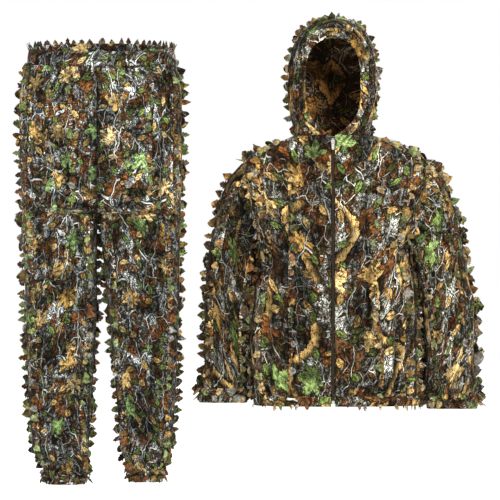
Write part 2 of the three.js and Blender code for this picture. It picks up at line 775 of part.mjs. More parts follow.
// Centre and half width of one side's section: one half of the hips above, a whole leg below.
function legSection(leg, z) {
  const [inner, outer] = leg.edgesAt(z);
  const middle = (inner + outer) / 2;
  const turned = clamp((-crotchDrop + riseCurve - z) / riseCurve, 0, 1) ** 2;
  const centre = lerp(0, middle, turned);
  return { centre, half: outer - centre, inner };
}

// Angle 0 is the side seam; the inner end is the centre seam above and the inseam below.
function legEndAngle(leg, z, inset) {
  const { centre, half, inner } = legSection(leg, z);
  const reach = (centre - Math.max(inner, seam / 2)) / (half - inset);
  return reach >= 1 ? Math.PI : Math.PI / 2 + Math.asin(clamp(reach, 0, 1) ** (roundness / 2));
}

function legPoint(leg, front, angle, z, inset, target) {
  const { centre, half } = legSection(leg, z);
  const x = Math.max(seam / 2, centre + (half - inset) * rounded(Math.cos(angle)));
  const y = Math.max(seam / 2, (depthAt(z)[0] - inset) * rounded(Math.sin(angle)));
  return target.set(leg.sign * x, front ? -y : y, z);
}

const hipShares = [0, 0.14, 0.3, 0.5, 0.72, 0.8, 0.88, 0.95, 1];

function hipPanel(leg, front) {
  const columns = 8;
  const shares = hipShares;
  const low = -crotchDrop + seam / 2;
  const face = (inset) => (column, row, target) => {
    const guess = lerp(waistHeight - waistBandHeight, low, shares[row]);
    const angle = (legEndAngle(leg, guess, inset) * column) / columns;
    const top = rimHeight(leg, front ? -Math.sin(angle) : Math.sin(angle)) - waistBandHeight - seam;
    legPoint(leg, front, angle, lerp(top, low, shares[row]), inset, target);
    if (column === columns && shares[row] < 0.7) target.x = (leg.sign * seam) / 2;
  };
  return sheetBody(face(0), face(cloth), columns, shares.length - 1);
}

function legPanel(leg, front) {
  const columns = 8;
  const high = -crotchDrop - seam / 2;
  const low = -leg.hemDrop + ankleBandHeight + seam;
  const levels = [high, -300, -410, -540, -660, -785, low + 14, low];
  const face = (inset) => (column, row, target) => {
    legPoint(leg, front, (Math.PI * column) / columns, levels[row], inset, target);
  };
  return sheetBody(face(0), face(cloth), columns, levels.length - 1);
}

const waistColumns = 24;

function waistRing(corners) {
  const place = (step, [depth, height], target) => {
    const angle = (step / waistColumns) * 2 * Math.PI;
    const leg = Math.cos(angle) < -1e-9 ? legs.right : legs.left;
    const z = rimHeight(leg, Math.sin(angle)) - waistBandHeight + height;
    const half = lerp(leg.waist + 6, leg.waist, height / waistBandHeight) - depth;
    target.set(half * rounded(Math.cos(angle)), (waistDepth - depth) * rounded(Math.sin(angle)), z);
  };
  return ringBody(place, waistColumns, corners);
}

const ankleColumns = 16;

function ankleRing(leg, corners) {
  const place = (step, [depth, height], target) => {
    const angle = (step / ankleColumns) * 2 * Math.PI;
    const [inner, outer] = leg.ankle;
    const x = (inner + outer) / 2 + ((outer - inner) / 2 - depth) * rounded(Math.cos(angle));
    const y = (ankleDepth - depth) * rounded(Math.sin(angle));
    target.set(leg.sign * x, y, -leg.hemDrop + ankleBandHeight - height);
  };
  return ringBody(place, ankleColumns, corners);
}

function hipStrip(leg) {
  const path = [];
  for (const share of hipShares.slice(0, -1)) {
    const z = lerp(waistHeight - waistBandHeight - seam, -crotchDrop + seam / 2, share);
    path.push(new THREE.Vector2(leg.sign * leg.edgesAt(z)[1], z));
  }
  return sideStrip(path, leg.sign);
}

function legSideStrip(leg) {
  const path = [];
  for (const z of [-crotchDrop - 8, -300, -410, -540, -660, -785]) {
    path.push(new THREE.Vector2(leg.sign * leg.edgesAt(z)[1], z));
  }
  return sideStrip(path, leg.sign);
}

function legFrontStrip(leg) {
  const path = [];
  const x = legSection(leg, -crotchDrop).centre;
  for (const z of [-crotchDrop - 12, -300, -410, -540, -660, -785]) {
    const { centre, half } = legSection(leg, z);
    const cosine = clamp(Math.abs(x - centre) / half, 0, 1) ** (roundness / 2);
    const y = depthAt(z)[0] * (1 - cosine ** 2) ** (1 / roundness);
    path.push(new THREE.Vector2(-y, z));
  }
  return foreStrip(path, -1, leg.sign * x);
}

// ---------------------------------------------------------------- hip pocket
function pocketFrame(leg, angle, z) {
  const step = 0.02;
  const at = (a) => legPoint(leg, true, a, z, 0, new THREE.Vector3());
  const along = at(angle + step).sub(at(angle - step)).normalize();
  const outward = new THREE.Vector3(-along.y, along.x, 0);
  if (outward.x * leg.sign < 0) outward.negate();
  return { point: at(angle), along, outward, turn: Math.atan2(along.y, along.x) };
}

function pocketSlit(leg) {
  const middle = pocketTopHeight - pocketLength / 2;
  const { point, turn } = pocketFrame(leg, pocketAngle, middle);
  const slit = new THREE.BoxGeometry(pocketSlitWidth, 40, pocketLength);
  return slit.rotateZ(turn).translate(point.x, point.y, middle);
}

function pocketWelt(leg) {
  const middle = pocketTopHeight - pocketLength / 2;
  const shift = (pocketSlitWidth + weltWidth) / 2 + 1;
  const { point, along, outward, turn } = pocketFrame(leg, pocketAngle, middle);
  const welt = new THREE.BoxGeometry(weltWidth, weltThickness, pocketLength + 10);
  const away = outward.multiplyScalar(weltThickness / 2 + weltStandOff);
  const centre = point.add(along.multiplyScalar(shift)).add(away);
  return welt.rotateZ(turn).translate(centre.x, centre.y, middle);
}

function pocketBag(leg) {
  const top = pocketTopHeight + 4;
  const start = legPoint(leg, true, pocketAngle + 0.1, top, cloth, new THREE.Vector3());
  const end = legPoint(leg, true, pocketAngle + 0.62, top, cloth, new THREE.Vector3());
  const along = end.clone().sub(start);
  const width = along.length();
  const turn = Math.atan2(along.y, along.x);
  const thick = 2 * bagWall + bagSpace;
  const outline = new THREE.Shape();
  outline.moveTo(0, 0).lineTo(width, 0).lineTo(width, thick).lineTo(0, thick);
  outline.lineTo(0, thick - bagWall).lineTo(width - bagWall, thick - bagWall);
  outline.lineTo(width - bagWall, bagWall).lineTo(0, bagWall);
  const height = pocketLength + 30;
  const bag = new THREE.ExtrudeGeometry(outline, { depth: height, bevelEnabled: false });
  if (leg.sign > 0) bag.translate(0, -thick - 1.6, 0);
  if (leg.sign < 0) bag.translate(0, 1.6, 0);
  bag.rotateZ(turn).translate(start.x, start.y, top - height);
  return closedBody(bag);
}

for (const [name, leg] of Object.entries(legs)) {
  const front = hipPanel(leg, true);
  if (name === 'left') {
    add('hip_front_left', geometryOf(solidOf(front).subtract(solidOf(pocketSlit(leg)))),
      finishes.trouserCloth, trousers);
  } else {
    add('hip_front_right', front, finishes.trouserCloth, trousers);
  }
  add(`hip_back_${name}`, hipPanel(leg, false), finishes.trouserCloth, trousers);
  add(`leaf_strip_hip_${name}`, hipStrip(leg), finishes.leafGreen, trousers);
  add(`leg_front_${name}`, legPanel(leg, true), finishes.trouserCloth, trousers);
  add(`leg_back_${name}`, legPanel(leg, false), finishes.trouserCloth, trousers);
  add(`ankle_casing_${name}`, ankleRing(leg, casingCorners(ankleBandHeight)), finishes.trouserBand, trousers);
  add(`ankle_elastic_${name}`, ankleRing(leg, elasticCorners(ankleBandHeight)), finishes.elastic, trousers);
  add(`leaf_strip_leg_side_${name}`, legSideStrip(leg), finishes.leafGreen, trousers);
  add(`leaf_strip_leg_front_${name}`, legFrontStrip(leg), finishes.leafBrown, trousers);
}
add('waist_casing', waistRing(casingCorners(waistBandHeight)), finishes.trouserBand, trousers);
add('waist_elastic', waistRing(elasticCorners(waistBandHeight)), finishes.elastic, trousers);
add('pocket_welt', pocketWelt(legs.left), finishes.trouserBand, trousers);
add('pocket_bag', pocketBag(legs.left), finishes.lining, trousers);

export default suit;
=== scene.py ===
"""Two-piece leaf-covered camouflage suit: hooded zip jacket and pull-on trousers, shown filled out.

Shapes are worked out in millimetres in the CAD frame and turned into metres when a mesh is made.
The wearer faces -Y, so the wearer's right side is on -X, and the trousers hang on the -X side."""
import math

import bpy
import numpy as np
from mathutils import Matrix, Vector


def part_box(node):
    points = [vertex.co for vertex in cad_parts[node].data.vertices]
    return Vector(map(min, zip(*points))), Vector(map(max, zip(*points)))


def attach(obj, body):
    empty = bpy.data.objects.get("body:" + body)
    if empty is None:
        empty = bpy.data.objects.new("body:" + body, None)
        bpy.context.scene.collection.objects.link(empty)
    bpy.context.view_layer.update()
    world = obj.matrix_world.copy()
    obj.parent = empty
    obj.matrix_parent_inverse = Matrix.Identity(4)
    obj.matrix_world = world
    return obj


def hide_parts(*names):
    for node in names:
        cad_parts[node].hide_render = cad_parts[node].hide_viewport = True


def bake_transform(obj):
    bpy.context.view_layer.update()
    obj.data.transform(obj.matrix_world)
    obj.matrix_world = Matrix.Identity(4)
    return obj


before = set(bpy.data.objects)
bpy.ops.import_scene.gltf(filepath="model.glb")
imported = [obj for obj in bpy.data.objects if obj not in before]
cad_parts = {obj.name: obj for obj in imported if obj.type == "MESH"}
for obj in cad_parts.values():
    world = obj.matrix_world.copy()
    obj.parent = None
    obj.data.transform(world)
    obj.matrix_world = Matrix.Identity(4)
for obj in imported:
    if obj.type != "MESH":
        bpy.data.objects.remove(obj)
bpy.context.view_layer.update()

MM = 0.001
TURN = 2 * math.pi
QUARTER = math.pi / 2

# ---------------------------------------------------------------- camera, light and floor
VIEW_CENTRE = (-0.2055, -0.285)  # the middle of the view, X and Z
VIEW_WIDTH = 1.25  # width of the view at the middle of the suit
LENS = 300
SENSOR = 36
FLOOR_GAP = 0.05  # from the lowest solid down to the floor
FLOOR_SIZE = 24
FLOOR_GLOW = 0.60
ROOM_LIGHT = 0.62  # light that the white room gives the suit
ROOM_SEEN = 1.0  # brightness of the room as the camera sees it
LIGHTS = [  # name, place, aim, size and power
    ("key", (1.2, -2.5, 1.5), (-0.2, 0, -0.3), 1.2, 84),
    ("fill", (-2.0, -2.2, 0.3), (-0.2, 0, -0.3), 2.0, 26),
    ("top", (-0.2, 0.8, 2.2), (-0.2, 0, -0.2), 1.6, 30),
]


def area_light(name, place, aim, size, power):
    data = bpy.data.lights.new(name, "AREA")
    data.shape = "DISK"
    data.size = size
    data.energy = power
    light = bpy.data.objects.new(name, data)
    bpy.context.scene.collection.objects.link(light)
    light.location = place
    direction = Vector(aim) - Vector(place)
    light.rotation_euler = direction.to_track_quat("-Z", "Y").to_euler()


def studio():
    scene = bpy.context.scene
    scene.view_settings.view_transform = "Standard"
    camera_data = bpy.data.cameras.new("camera")
    camera_data.lens = LENS
    camera_data.sensor_width = SENSOR
    camera = bpy.data.objects.new("camera", camera_data)
    scene.collection.objects.link(camera)
    distance = VIEW_WIDTH * LENS / SENSOR
    camera.location = (VIEW_CENTRE[0], -distance, VIEW_CENTRE[1])
    camera.rotation_euler = (QUARTER, 0, 0)
    scene.camera = camera

    world = bpy.data.worlds.new("white_room")
    world.use_nodes = True
    tree = world.node_tree
    background = tree.nodes["Background"]
    background.inputs["Color"].default_value = (1, 1, 1, 1)
    seen = tree.nodes.new("ShaderNodeLightPath")
    strength = tree.nodes.new("ShaderNodeMapRange")
    strength.inputs["To Min"].default_value = ROOM_LIGHT
    strength.inputs["To Max"].default_value = ROOM_SEEN
    tree.links.new(seen.outputs["Is Camera Ray"], strength.inputs["Value"])
    tree.links.new(strength.outputs["Result"], background.inputs["Strength"])
    scene.world = world
    for light in LIGHTS:
        area_light(*light)

    bottom = min(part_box(name)[0][2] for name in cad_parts)
    bpy.ops.mesh.primitive_plane_add(size=FLOOR_SIZE, location=(0, 0, bottom - FLOOR_GAP))
    floor = bpy.context.object
    floor.name = "floor"
    pale = bpy.data.materials.new("floor_pale")
    pale.use_nodes = True
    shader = pale.node_tree.nodes["Principled BSDF"]
    shader.inputs["Base Color"].default_value = (0.93, 0.93, 0.93, 1)
    shader.inputs["Roughness"].default_value = 0.9
    shader.inputs["Emission Color"].default_value = (1, 1, 1, 1)
    shader.inputs["Emission Strength"].default_value = FLOOR_GLOW
    floor.data.materials.append(pale)


studio()

# ---------------------------------------------------------------- numbers
ROUNDNESS = 2.4  # exponent of the rounded cross-sections
SEAM = 0.4  # gap between pieces that are sewn together


def rounded(value):
    return np.sign(value) * np.abs(value) ** (2 / ROUNDNESS)


def lerp(a, b, share):
    return a + (b - a) * share


def smooth(value, low, high):
    share = np.clip((value - low) / (high - low), 0, 1)
    return share * share * (3 - 2 * share)


def curve_table(rows):
    """Smooth look-up that never overshoots: rows are [key, values...] with the key rising."""
    rows = np.array(rows, float)
    keys, values = rows[:, 0], rows[:, 1:]
    step = np.diff(keys)[:, None]
    rise = np.diff(values, axis=0) / step
    slope = np.zeros_like(values)
    slope[0], slope[-1] = rise[0], rise[-1]
    product = rise[:-1] * rise[1:]
    total = rise[:-1] + rise[1:]
    slope[1:-1] = np.where(product > 0, 2 * product / np.where(total == 0, 1, total), 0)

    def at(key):
        key = np.clip(np.asarray(key, float), keys[0], keys[-1])
        i = np.clip(np.searchsorted(keys, key, side="right") - 1, 0, len(keys) - 2)
        span = step[i]
        t = (key - keys[i])[..., None] / span
        bend_a, bend_b = t * (1 - t) ** 2, t * t * (t - 1)
        ease = t * t * (3 - 2 * t)
        value = values[i] * (1 - ease) + values[i + 1] * ease
        value = value + span * (slope[i] * bend_a + slope[i + 1] * bend_b)
        return np.moveaxis(value, -1, 0)

    return at


def noise(points, size, seed, stretch=(1, 1, 1)):
    """Smooth random field from -1 to 1 whose lumps are about size millimetres across."""
    lattice = np.random.default_rng(seed).uniform(-1, 1, (32, 32, 32))
    place = np.asarray(points) * np.array(stretch) / size + 100.5
    cell = np.floor(place).astype(int)
    part = place - cell
    part = part * part * (3 - 2 * part)
    total = 0
    for corner in range(8):
        bits = np.array([corner & 1, corner >> 1 & 1, corner >> 2 & 1])
        index = (cell + bits) % 32
        weight = np.prod(np.where(bits, part, 1 - part), axis=-1)
        total = total + weight * lattice[index[..., 0], index[..., 1], index[..., 2]]
    return total


def bell(distance, width):
    return np.exp(-(distance / width) ** 2)


def lumps(points, seed, rows):
    """Folds as a sum of noises: rows of height, size, step of the seed and stretch."""
    return sum(height * noise(points, size, seed + step, stretch) for height, size, step, stretch in rows)


def unit(vectors):
    return vectors / np.maximum(np.linalg.norm(vectors, axis=-1, keepdims=True), 1e-9)


# ---------------------------------------------------------------- sheets of cloth as grids
STRIP_WIDTH = 30.0  # width of a sewn leaf strip with its leaves
STRIP_SWAY = 5.0  # how far a strip wanders to each side
STRIP_WAVE = 70  # length of cloth for each radian of that wandering
# painted shade and highlight: a fold valley darkens the print and a crest brightens it
VALLEY, VALLEY_PAINTED_SHADE = -8.5, 0.22  # a fold this deep has its print this dark
CREST, CREST_PAINTED_HIGHLIGHT = 3.0, 1.12  # a crest this high has its print this bright


class Sheet:
    """A grid of points [row, column] with outward normals. Rows run down the cloth."""

    def __init__(self, points, core, closed=False):
        self.points = np.array(points, float)
        self.core = np.broadcast_to(core, self.points.shape)
        self.closed = closed
        self.measure()
        self.flat_width, self.flat_length, self.flat_area = self.flat_size()
        self.print = np.stack([self.across, self.down], axis=-1)
        # painted shade and highlight of folds and creases: a grey for each point that multiplies the print
        self.shade = np.ones(self.points.shape[:2])

    def wrapped(self):
        if not self.closed:
            return self.points
        return np.concatenate([self.points[:, -1:], self.points, self.points[:, :1]], axis=1)

    def measure(self):
        grid = self.wrapped()
        along_column = np.gradient(grid, axis=1)
        along_row = np.gradient(grid, axis=0)
        normal = unit(np.cross(along_column, along_row))
        if self.closed:
            normal = normal[:, 1:-1]
            along_row = along_row[:, 1:-1]
        facing = np.sum(normal * (self.points - self.core))
        self.normal = -normal if facing < 0 else normal
        self.fall = unit(along_row)
        self.across = self.arc(1)
        self.down = self.arc(0)

    def arc(self, axis):
        lengths = np.linalg.norm(np.diff(self.points, axis=axis), axis=-1)
        total = np.cumsum(lengths, axis=axis)
        first = np.zeros_like(np.take(total, [0], axis=axis))
        return np.concatenate([first, total], axis=axis)

    def flat_size(self):
        grid = self.points
        if self.closed:
            grid = np.concatenate([grid, grid[:, :1]], axis=1)
        widths = np.linalg.norm(np.diff(grid, axis=1), axis=-1).sum(axis=1)
        lengths = np.linalg.norm(np.diff(grid, axis=0), axis=-1).sum(axis=0)
        a = grid[1:, 1:] - grid[:-1, :-1]
        b = grid[1:, :-1] - grid[:-1, 1:]
        area = np.linalg.norm(np.cross(a, b), axis=-1).sum() / 2
        return widths.max(), lengths.max(), area

    def fade(self, left=0, right=0, top=0, bottom=0):
        """1 in the middle of the cloth, falling to 0 at each edge that is given a width."""
        share = np.ones(self.points.shape[:2])
        if left:
            share = share * smooth(self.across, 0, left)
        if right:
            share = share * smooth(self.across[:, -1:] - self.across, 0, right)
        if top:
            share = share * smooth(self.down, 0, top)
        if bottom:
            share = share * smooth(self.down[-1:] - self.down, 0, bottom)
        return share

    def push(self, amount):
        """Moves the points outward by the given millimetres, and paints shade into the print in the valleys and a
        highlight on the crests.
        """
        self.points = self.points + self.normal * amount[..., None]
        self.shade = self.shade * lerp(VALLEY_PAINTED_SHADE, CREST_PAINTED_HIGHLIGHT, smooth(amount, VALLEY, CREST))
        kept = self.print
        self.measure()
        self.print = kept

    def sample(self, row, column):
        """Place, normal, falling direction and print place at fractional rows and columns."""
        rows, columns = self.points.shape[:2]
        r0 = np.clip(np.floor(row).astype(int), 0, rows - 2)
        fr = (row - r0)[..., None]
        if self.closed:
            c0 = np.floor(column).astype(int) % columns
            c1 = (c0 + 1) % columns
            fc = (column - np.floor(column))[..., None]
        else:
            c0 = np.clip(np.floor(column).astype(int), 0, columns - 2)
            c1 = c0 + 1
            fc = (column - c0)[..., None]

        def mixed(grid):
            top = grid[r0, c0] * (1 - fc) + grid[r0, c1] * fc
            low = grid[r0 + 1, c0] * (1 - fc) + grid[r0 + 1, c1] * fc
            return top * (1 - fr) + low * fr

        return mixed(self.points), unit(mixed(self.normal)), unit(mixed(self.fall)), mixed(self.print)

    # the painted shade and highlight of the folds, as a grey for each point
    def folds(self):
        return np.repeat(self.shade.reshape(-1, 1), 3, axis=1)

    def darken(self, amount):
        """Takes a share of the light away, the same everywhere or point by point."""
        self.shade = self.shade * (1 - amount)

    def shade_beside(self, column, hand):
        """The shade that a leaf strip throws on the cloth beside it."""
        sway = STRIP_SWAY * np.sin(self.down / STRIP_WAVE + column * TURN)
        distance = self.across - column * self.flat_width - hand * STRIP_WIDTH / 2 - sway
        self.darken(0.6 * bell(distance, 5.0))

    def faces(self):
        rows, columns = self.points.shape[:2]
        last = columns if self.closed else columns - 1
        r, c = np.meshgrid(np.arange(rows - 1), np.arange(last), indexing="ij")
        r, c = r.ravel(), c.ravel()
        n = (c + 1) % columns
        here, below = r * columns, (r + 1) * columns
        quads = np.stack([here + c, below + c, below + n, here + n], axis=1)
        flat = self.points.reshape(-1, 3)
        start = flat[quads[:, 0]]
        normal = np.cross(flat[quads[:, 1]] - start, flat[quads[:, 3]] - start)
        if np.sum(normal * self.normal.reshape(-1, 3)[quads[:, 0]]) < 0:
            quads = quads[:, ::-1]
        return quads


def mesh_object(name, points, faces, attributes):
    """A mesh object from millimetre points; attributes are (name, type, values)."""
    mesh = bpy.data.meshes.new(name)
    mesh.from_pydata((np.asarray(points) * MM).tolist(), [], [list(map(int, face)) for face in faces])
    for label, kind, values in attributes:
        attribute = mesh.attributes.new(label, kind, "POINT")
        key = "color" if kind == "FLOAT_COLOR" else "vector"
        attribute.data.foreach_set(key, np.asarray(values, np.float32).ravel())
    mesh.polygons.foreach_set("use_smooth", [True] * len(mesh.polygons))
    mesh.update()
    obj = bpy.data.objects.new(name, mesh)
    bpy.context.scene.collection.objects.link(obj)
    return obj


def print_values(print_place, offset):
    """Print places in metres with a third coordinate, moved by where the print starts."""
    flat = print_place.reshape(-1, 2) * MM + np.array(offset)
    return np.concatenate([flat, np.zeros((len(flat), 1))], axis=1)


def sheet_attributes(sheet, offset):
    """The print and the painted shade and highlight of the folds, for the material to read."""
    return [("print", "FLOAT_VECTOR", print_values(sheet.print, offset)), ("fold", "FLOAT_VECTOR", sheet.folds())]


CLOTH = 1.6  # thickness of the printed cloth
LEAF_CLOTH = 0.7  # thickness of a cut leaf


def thicken(obj, thickness, inside_material=None):
    modifier = obj.modifiers.new("thickness", "SOLIDIFY")
    modifier.thickness = thickness * MM
    modifier.offset = -1
    modifier.use_even_offset = False
    if inside_material:
        modifier.material_offset = 1


def cloth_piece(name, sheet, outside, inside, offset):
    """A piece of cloth with an outside and an inside finish."""
    obj = mesh_object(name, sheet.points.reshape(-1, 3), sheet.faces(), sheet_attributes(sheet, offset))
    obj.data.materials.append(outside)
    obj.data.materials.append(inside)
    thicken(obj, CLOTH, inside)
    return obj


# ---------------------------------------------------------------- materials
class Nodes:
    """Short calls for building a node tree."""

    def __init__(self, tree):
        self.tree = tree

    def add(self, kind, **settings):
        node = self.tree.nodes.new(kind)
        for key, value in settings.items():
            setattr(node, key, value)
        return node

    def put(self, socket, value):
        if isinstance(value, bpy.types.NodeSocket):
            self.tree.links.new(value, socket)
        elif value is not None:
            socket.default_value = (*value, 1.0) if socket.type == "RGBA" else value

    def math(self, operation, a, b=None, c=None):
        node = self.add("ShaderNodeMath", operation=operation)
        for socket, value in zip(node.inputs, (a, b, c)):
            self.put(socket, value)
        return node.outputs[0]

    def vector(self, operation, a, b=None, scale=None):
        node = self.add("ShaderNodeVectorMath", operation=operation)
        self.put(node.inputs[0], a)
        self.put(node.inputs[1], b)
        if scale is not None:
            self.put(node.inputs["Scale"], scale)
        return node.outputs["Value"] if operation in ("LENGTH", "DOT_PRODUCT") else node.outputs[0]

    def split(self, vector):
        node = self.add("ShaderNodeSeparateXYZ")
        self.put(node.inputs[0], vector)
        return node.outputs

    def join(self, x, y, z=0.0):
        node = self.add("ShaderNodeCombineXYZ")
        for socket, value in zip(node.inputs, (x, y, z)):
            self.put(socket, value)
        return node.outputs[0]

    def noise(self, vector, scale, detail=2.0, roughness=0.5, colour=False):
        node = self.add("ShaderNodeTexNoise", noise_dimensions="2D")
        self.put(node.inputs["Vector"], vector)
        node.inputs["Scale"].default_value = scale
        node.inputs["Detail"].default_value = detail
        node.inputs["Roughness"].default_value = roughness
        return node.outputs["Color" if colour else "Fac"]

    def voronoi(self, vector, feature="F1"):
        node = self.add("ShaderNodeTexVoronoi", voronoi_dimensions="2D", feature=feature)
        self.put(node.inputs["Vector"], vector)
        node.inputs["Scale"].default_value = 1.0
        return node

    def mix(self, share, a, b, mode="MIX"):
        node = self.add("ShaderNodeMix", data_type="RGBA", blend_type=mode)
        self.put(node.inputs[0], share)
        self.put(node.inputs[6], a)
        self.put(node.inputs[7], b)
        return node.outputs[2]

    def times(self, a, b):
        return self.mix(1.0, a, b, "MULTIPLY")

    def dimmed(self, colour, value):
        """The colour times a plain value."""
        return self.times(colour, self.join(value, value, value))

    def range(self, value, low, high, start=0.0, end=1.0, soft=True):
        node = self.add("ShaderNodeMapRange", interpolation_type="SMOOTHSTEP" if soft else "LINEAR")
        for socket, number in zip(node.inputs, (value, low, high, start, end)):
            self.put(socket, number)
        return node.outputs[0]

    def ramp(self, value, stops, mode="LINEAR"):
        node = self.add("ShaderNodeValToRGB")
        node.color_ramp.interpolation = mode
        elements = node.color_ramp.elements
        while len(elements) < len(stops):
            elements.new(0.5)
        for element, (place, colour) in zip(elements, stops):
            element.position = place
            element.color = (*colour, 1)
        self.put(node.inputs[0], value)
        return node.outputs[0]

    def attribute(self, name, output="Vector"):
        return self.add("ShaderNodeAttribute", attribute_name=name).outputs[output]

    def bump(self, shader, height, strength, distance):
        node = self.add("ShaderNodeBump")
        node.inputs["Strength"].default_value = strength
        node.inputs["Distance"].default_value = distance
        self.put(node.inputs["Height"], height)
        self.put(shader.inputs["Normal"], node.outputs[0])


BLACK = (0.007, 0.006, 0.004)
DARK_BROWN = (0.032, 0.020, 0.011)
BROWN = (0.095, 0.055, 0.027)
RUST = (0.210, 0.082, 0.024)
OCHRE = (0.360, 0.215, 0.065)
TAN = (0.480, 0.350, 0.165)
OLIVE = (0.095, 0.098, 0.034)
GREEN = (0.155, 0.200, 0.058)
PALE_GREEN = (0.235, 0.305, 0.120)
GREY = (0.270, 0.262, 0.225)
PALE = (0.470, 0.455, 0.400)


def scattered(n, place, size, shift):
    """One random spot in each cell of a Voronoi pattern: the place from it, its turn and two chances."""
    moved = n.vector("ADD", place, (shift, shift * 0.7, 0))
    scaled = n.vector("SCALE", moved, scale=1 / size)
    cell = n.voronoi(scaled)
    local = n.vector("SUBTRACT", scaled, cell.outputs["Position"])
    chance, turn, hue = n.split(cell.outputs["Color"])
    return scaled, local, n.math("MULTIPLY", turn, TURN), chance, hue


def inked(n, under, height, edge, present, colour, scaled, vein):
    """Lays a leaf over the print with a black outline, dark veins and mottled light."""
    mask = n.math("MULTIPLY", n.range(edge, 0.0, 0.02), present)
    halo = n.math("MULTIPLY", n.range(edge, -0.07, -0.015), present)
    mottle = n.range(n.noise(scaled, 7, 4, 0.65), 0.32, 0.68, 0.28, 1.35)
    rim = n.range(edge, 0.004, 0.055, 0.10, 1.0)
    value = n.math("MULTIPLY", mottle, rim)
    colour = n.dimmed(colour, value)
    colour = n.mix(vein, colour, BLACK)
    darker = n.mix(n.math("MULTIPLY", halo, 0.9), under, BLACK)
    return n.mix(mask, darker, colour), n.math("ADD", height, n.math("MULTIPLY", mask, 0.8))


def lobed_leaves(n, place, under, height, size, share, lobes, colours, shift):
    """Broad lobed leaves, as of oak and maple."""
    scaled, local, turn_by, chance, hue = scattered(n, place, size, shift)
    x, y, _ = n.split(local)
    turn = n.math("ADD", n.math("ARCTAN2", y, x), turn_by)
    radius = n.vector("LENGTH", local)
    lobe = n.math("ABSOLUTE", n.math("COSINE", n.math("MULTIPLY", turn, lobes / 2)))
    body = n.math("MULTIPLY_ADD", n.math("POWER", lobe, 1.2), 0.24, 0.17)
    outline = n.math("MULTIPLY", body, n.math("MULTIPLY_ADD", n.math("COSINE", turn), 0.30, 0.95))
    ragged = n.math("MULTIPLY_ADD", n.noise(scaled, 8, 4, 0.75), 0.52, -0.26)
    edge = n.math("SUBTRACT", n.math("ADD", outline, ragged), radius)
    vein = n.math("MULTIPLY", n.range(lobe, 0.975, 0.996), n.range(radius, 0.02, 0.34, 0.9, 0.2))
    colour = n.mix(hue, *colours)
    return inked(n, under, height, edge, n.math("LESS_THAN", chance, share), colour, scaled, vein)


def oval_leaves(n, place, under, height, size, share, slim, colours, shift):
    """Pointed oval leaves with a midrib."""
    scaled, local, turn_by, chance, hue = scattered(n, place, size, shift)
    x, y, _ = n.split(local)
    c, d = n.math("COSINE", turn_by), n.math("SINE", turn_by)
    along = n.math("ADD", n.math("MULTIPLY", x, c), n.math("MULTIPLY", y, d))
    across = n.math("SUBTRACT", n.math("MULTIPLY", y, c), n.math("MULTIPLY", x, d))
    taper = n.math("SUBTRACT", 1.0, n.math("POWER", n.math("ABSOLUTE", n.math("DIVIDE", along, 0.46)), 1.7))
    ragged = n.math("MULTIPLY_ADD", n.noise(scaled, 12, 2, 0.6), 0.16, -0.08)
    side = n.math("ABSOLUTE", across)
    edge = n.math("SUBTRACT", n.math("ADD", n.math("MULTIPLY", taper, slim), ragged), side)
    comb = n.math("ABSOLUTE", n.math("SINE", n.math("MULTIPLY", n.math("ADD", along, side), 26.0)))
    vein = n.math("MAXIMUM", n.range(side, 0.004, 0.022, 0.95, 0.0), n.range(comb, 0.0, 0.3, 0.55, 0.0))
    colour = n.mix(hue, *colours)
    return inked(n, under, height, edge, n.math("LESS_THAN", chance, share), colour, scaled, vein)


def contour(n, place, scale, turns, width, strength):
    """Thin swirling ink lines that follow the level lines of a noise."""
    value = n.math("FRACT", n.math("MULTIPLY", n.noise(place, scale, 2, 0.5), turns))
    distance = n.math("ABSOLUTE", n.math("SUBTRACT", value, 0.5))
    return n.range(distance, width * 0.4, width, strength, 0.0)


def bark(n, warped, patch_size):
    """Grey-white bark with black line-work, broken by dark, brown, rust and olive patches."""
    big = n.noise(warped, 1 / patch_size, 3, 0.62)
    other = n.noise(n.vector("ADD", warped, (3.7, 1.9, 0)), 0.9 / patch_size, 3, 0.6)
    stretched = n.vector("MULTIPLY", warped, (1.0, 0.36, 1.0))
    streak = n.noise(stretched, 110, 4, 0.7)
    speck = n.noise(warped, 330, 4, 0.72)
    ground = n.ramp(big, [(0.34, BROWN), (0.43, GREY), (0.50, DARK_BROWN), (0.55, GREY), (0.63, PALE)])
    warm = n.ramp(other, [(0.36, OLIVE), (0.45, BROWN), (0.52, RUST), (0.60, BROWN), (0.68, OLIVE)])
    ground = n.mix(n.range(n.noise(warped, 1.6 / patch_size, 2), 0.49, 0.58), ground, warm)
    contrast = n.range(streak, 0.36, 0.62, 0.18, 1.45)
    grain = n.range(speck, 0.34, 0.62, 0.45, 1.4)
    value = n.math("MULTIPLY", contrast, grain)
    colour = n.dimmed(ground, value)
    cells = n.voronoi(n.vector("SCALE", warped, scale=1 / 0.012), "DISTANCE_TO_EDGE")
    ink = n.range(cells.outputs["Distance"], 0.04, 0.11, 0.85, 0.0)
    ink = n.math("MAXIMUM", ink, contour(n, warped, scale=34, turns=9.0, width=0.15, strength=0.9))
    ink = n.math("MAXIMUM", ink, contour(n, stretched, scale=80, turns=6.0, width=0.15, strength=0.75))
    return n.mix(ink, colour, BLACK), streak


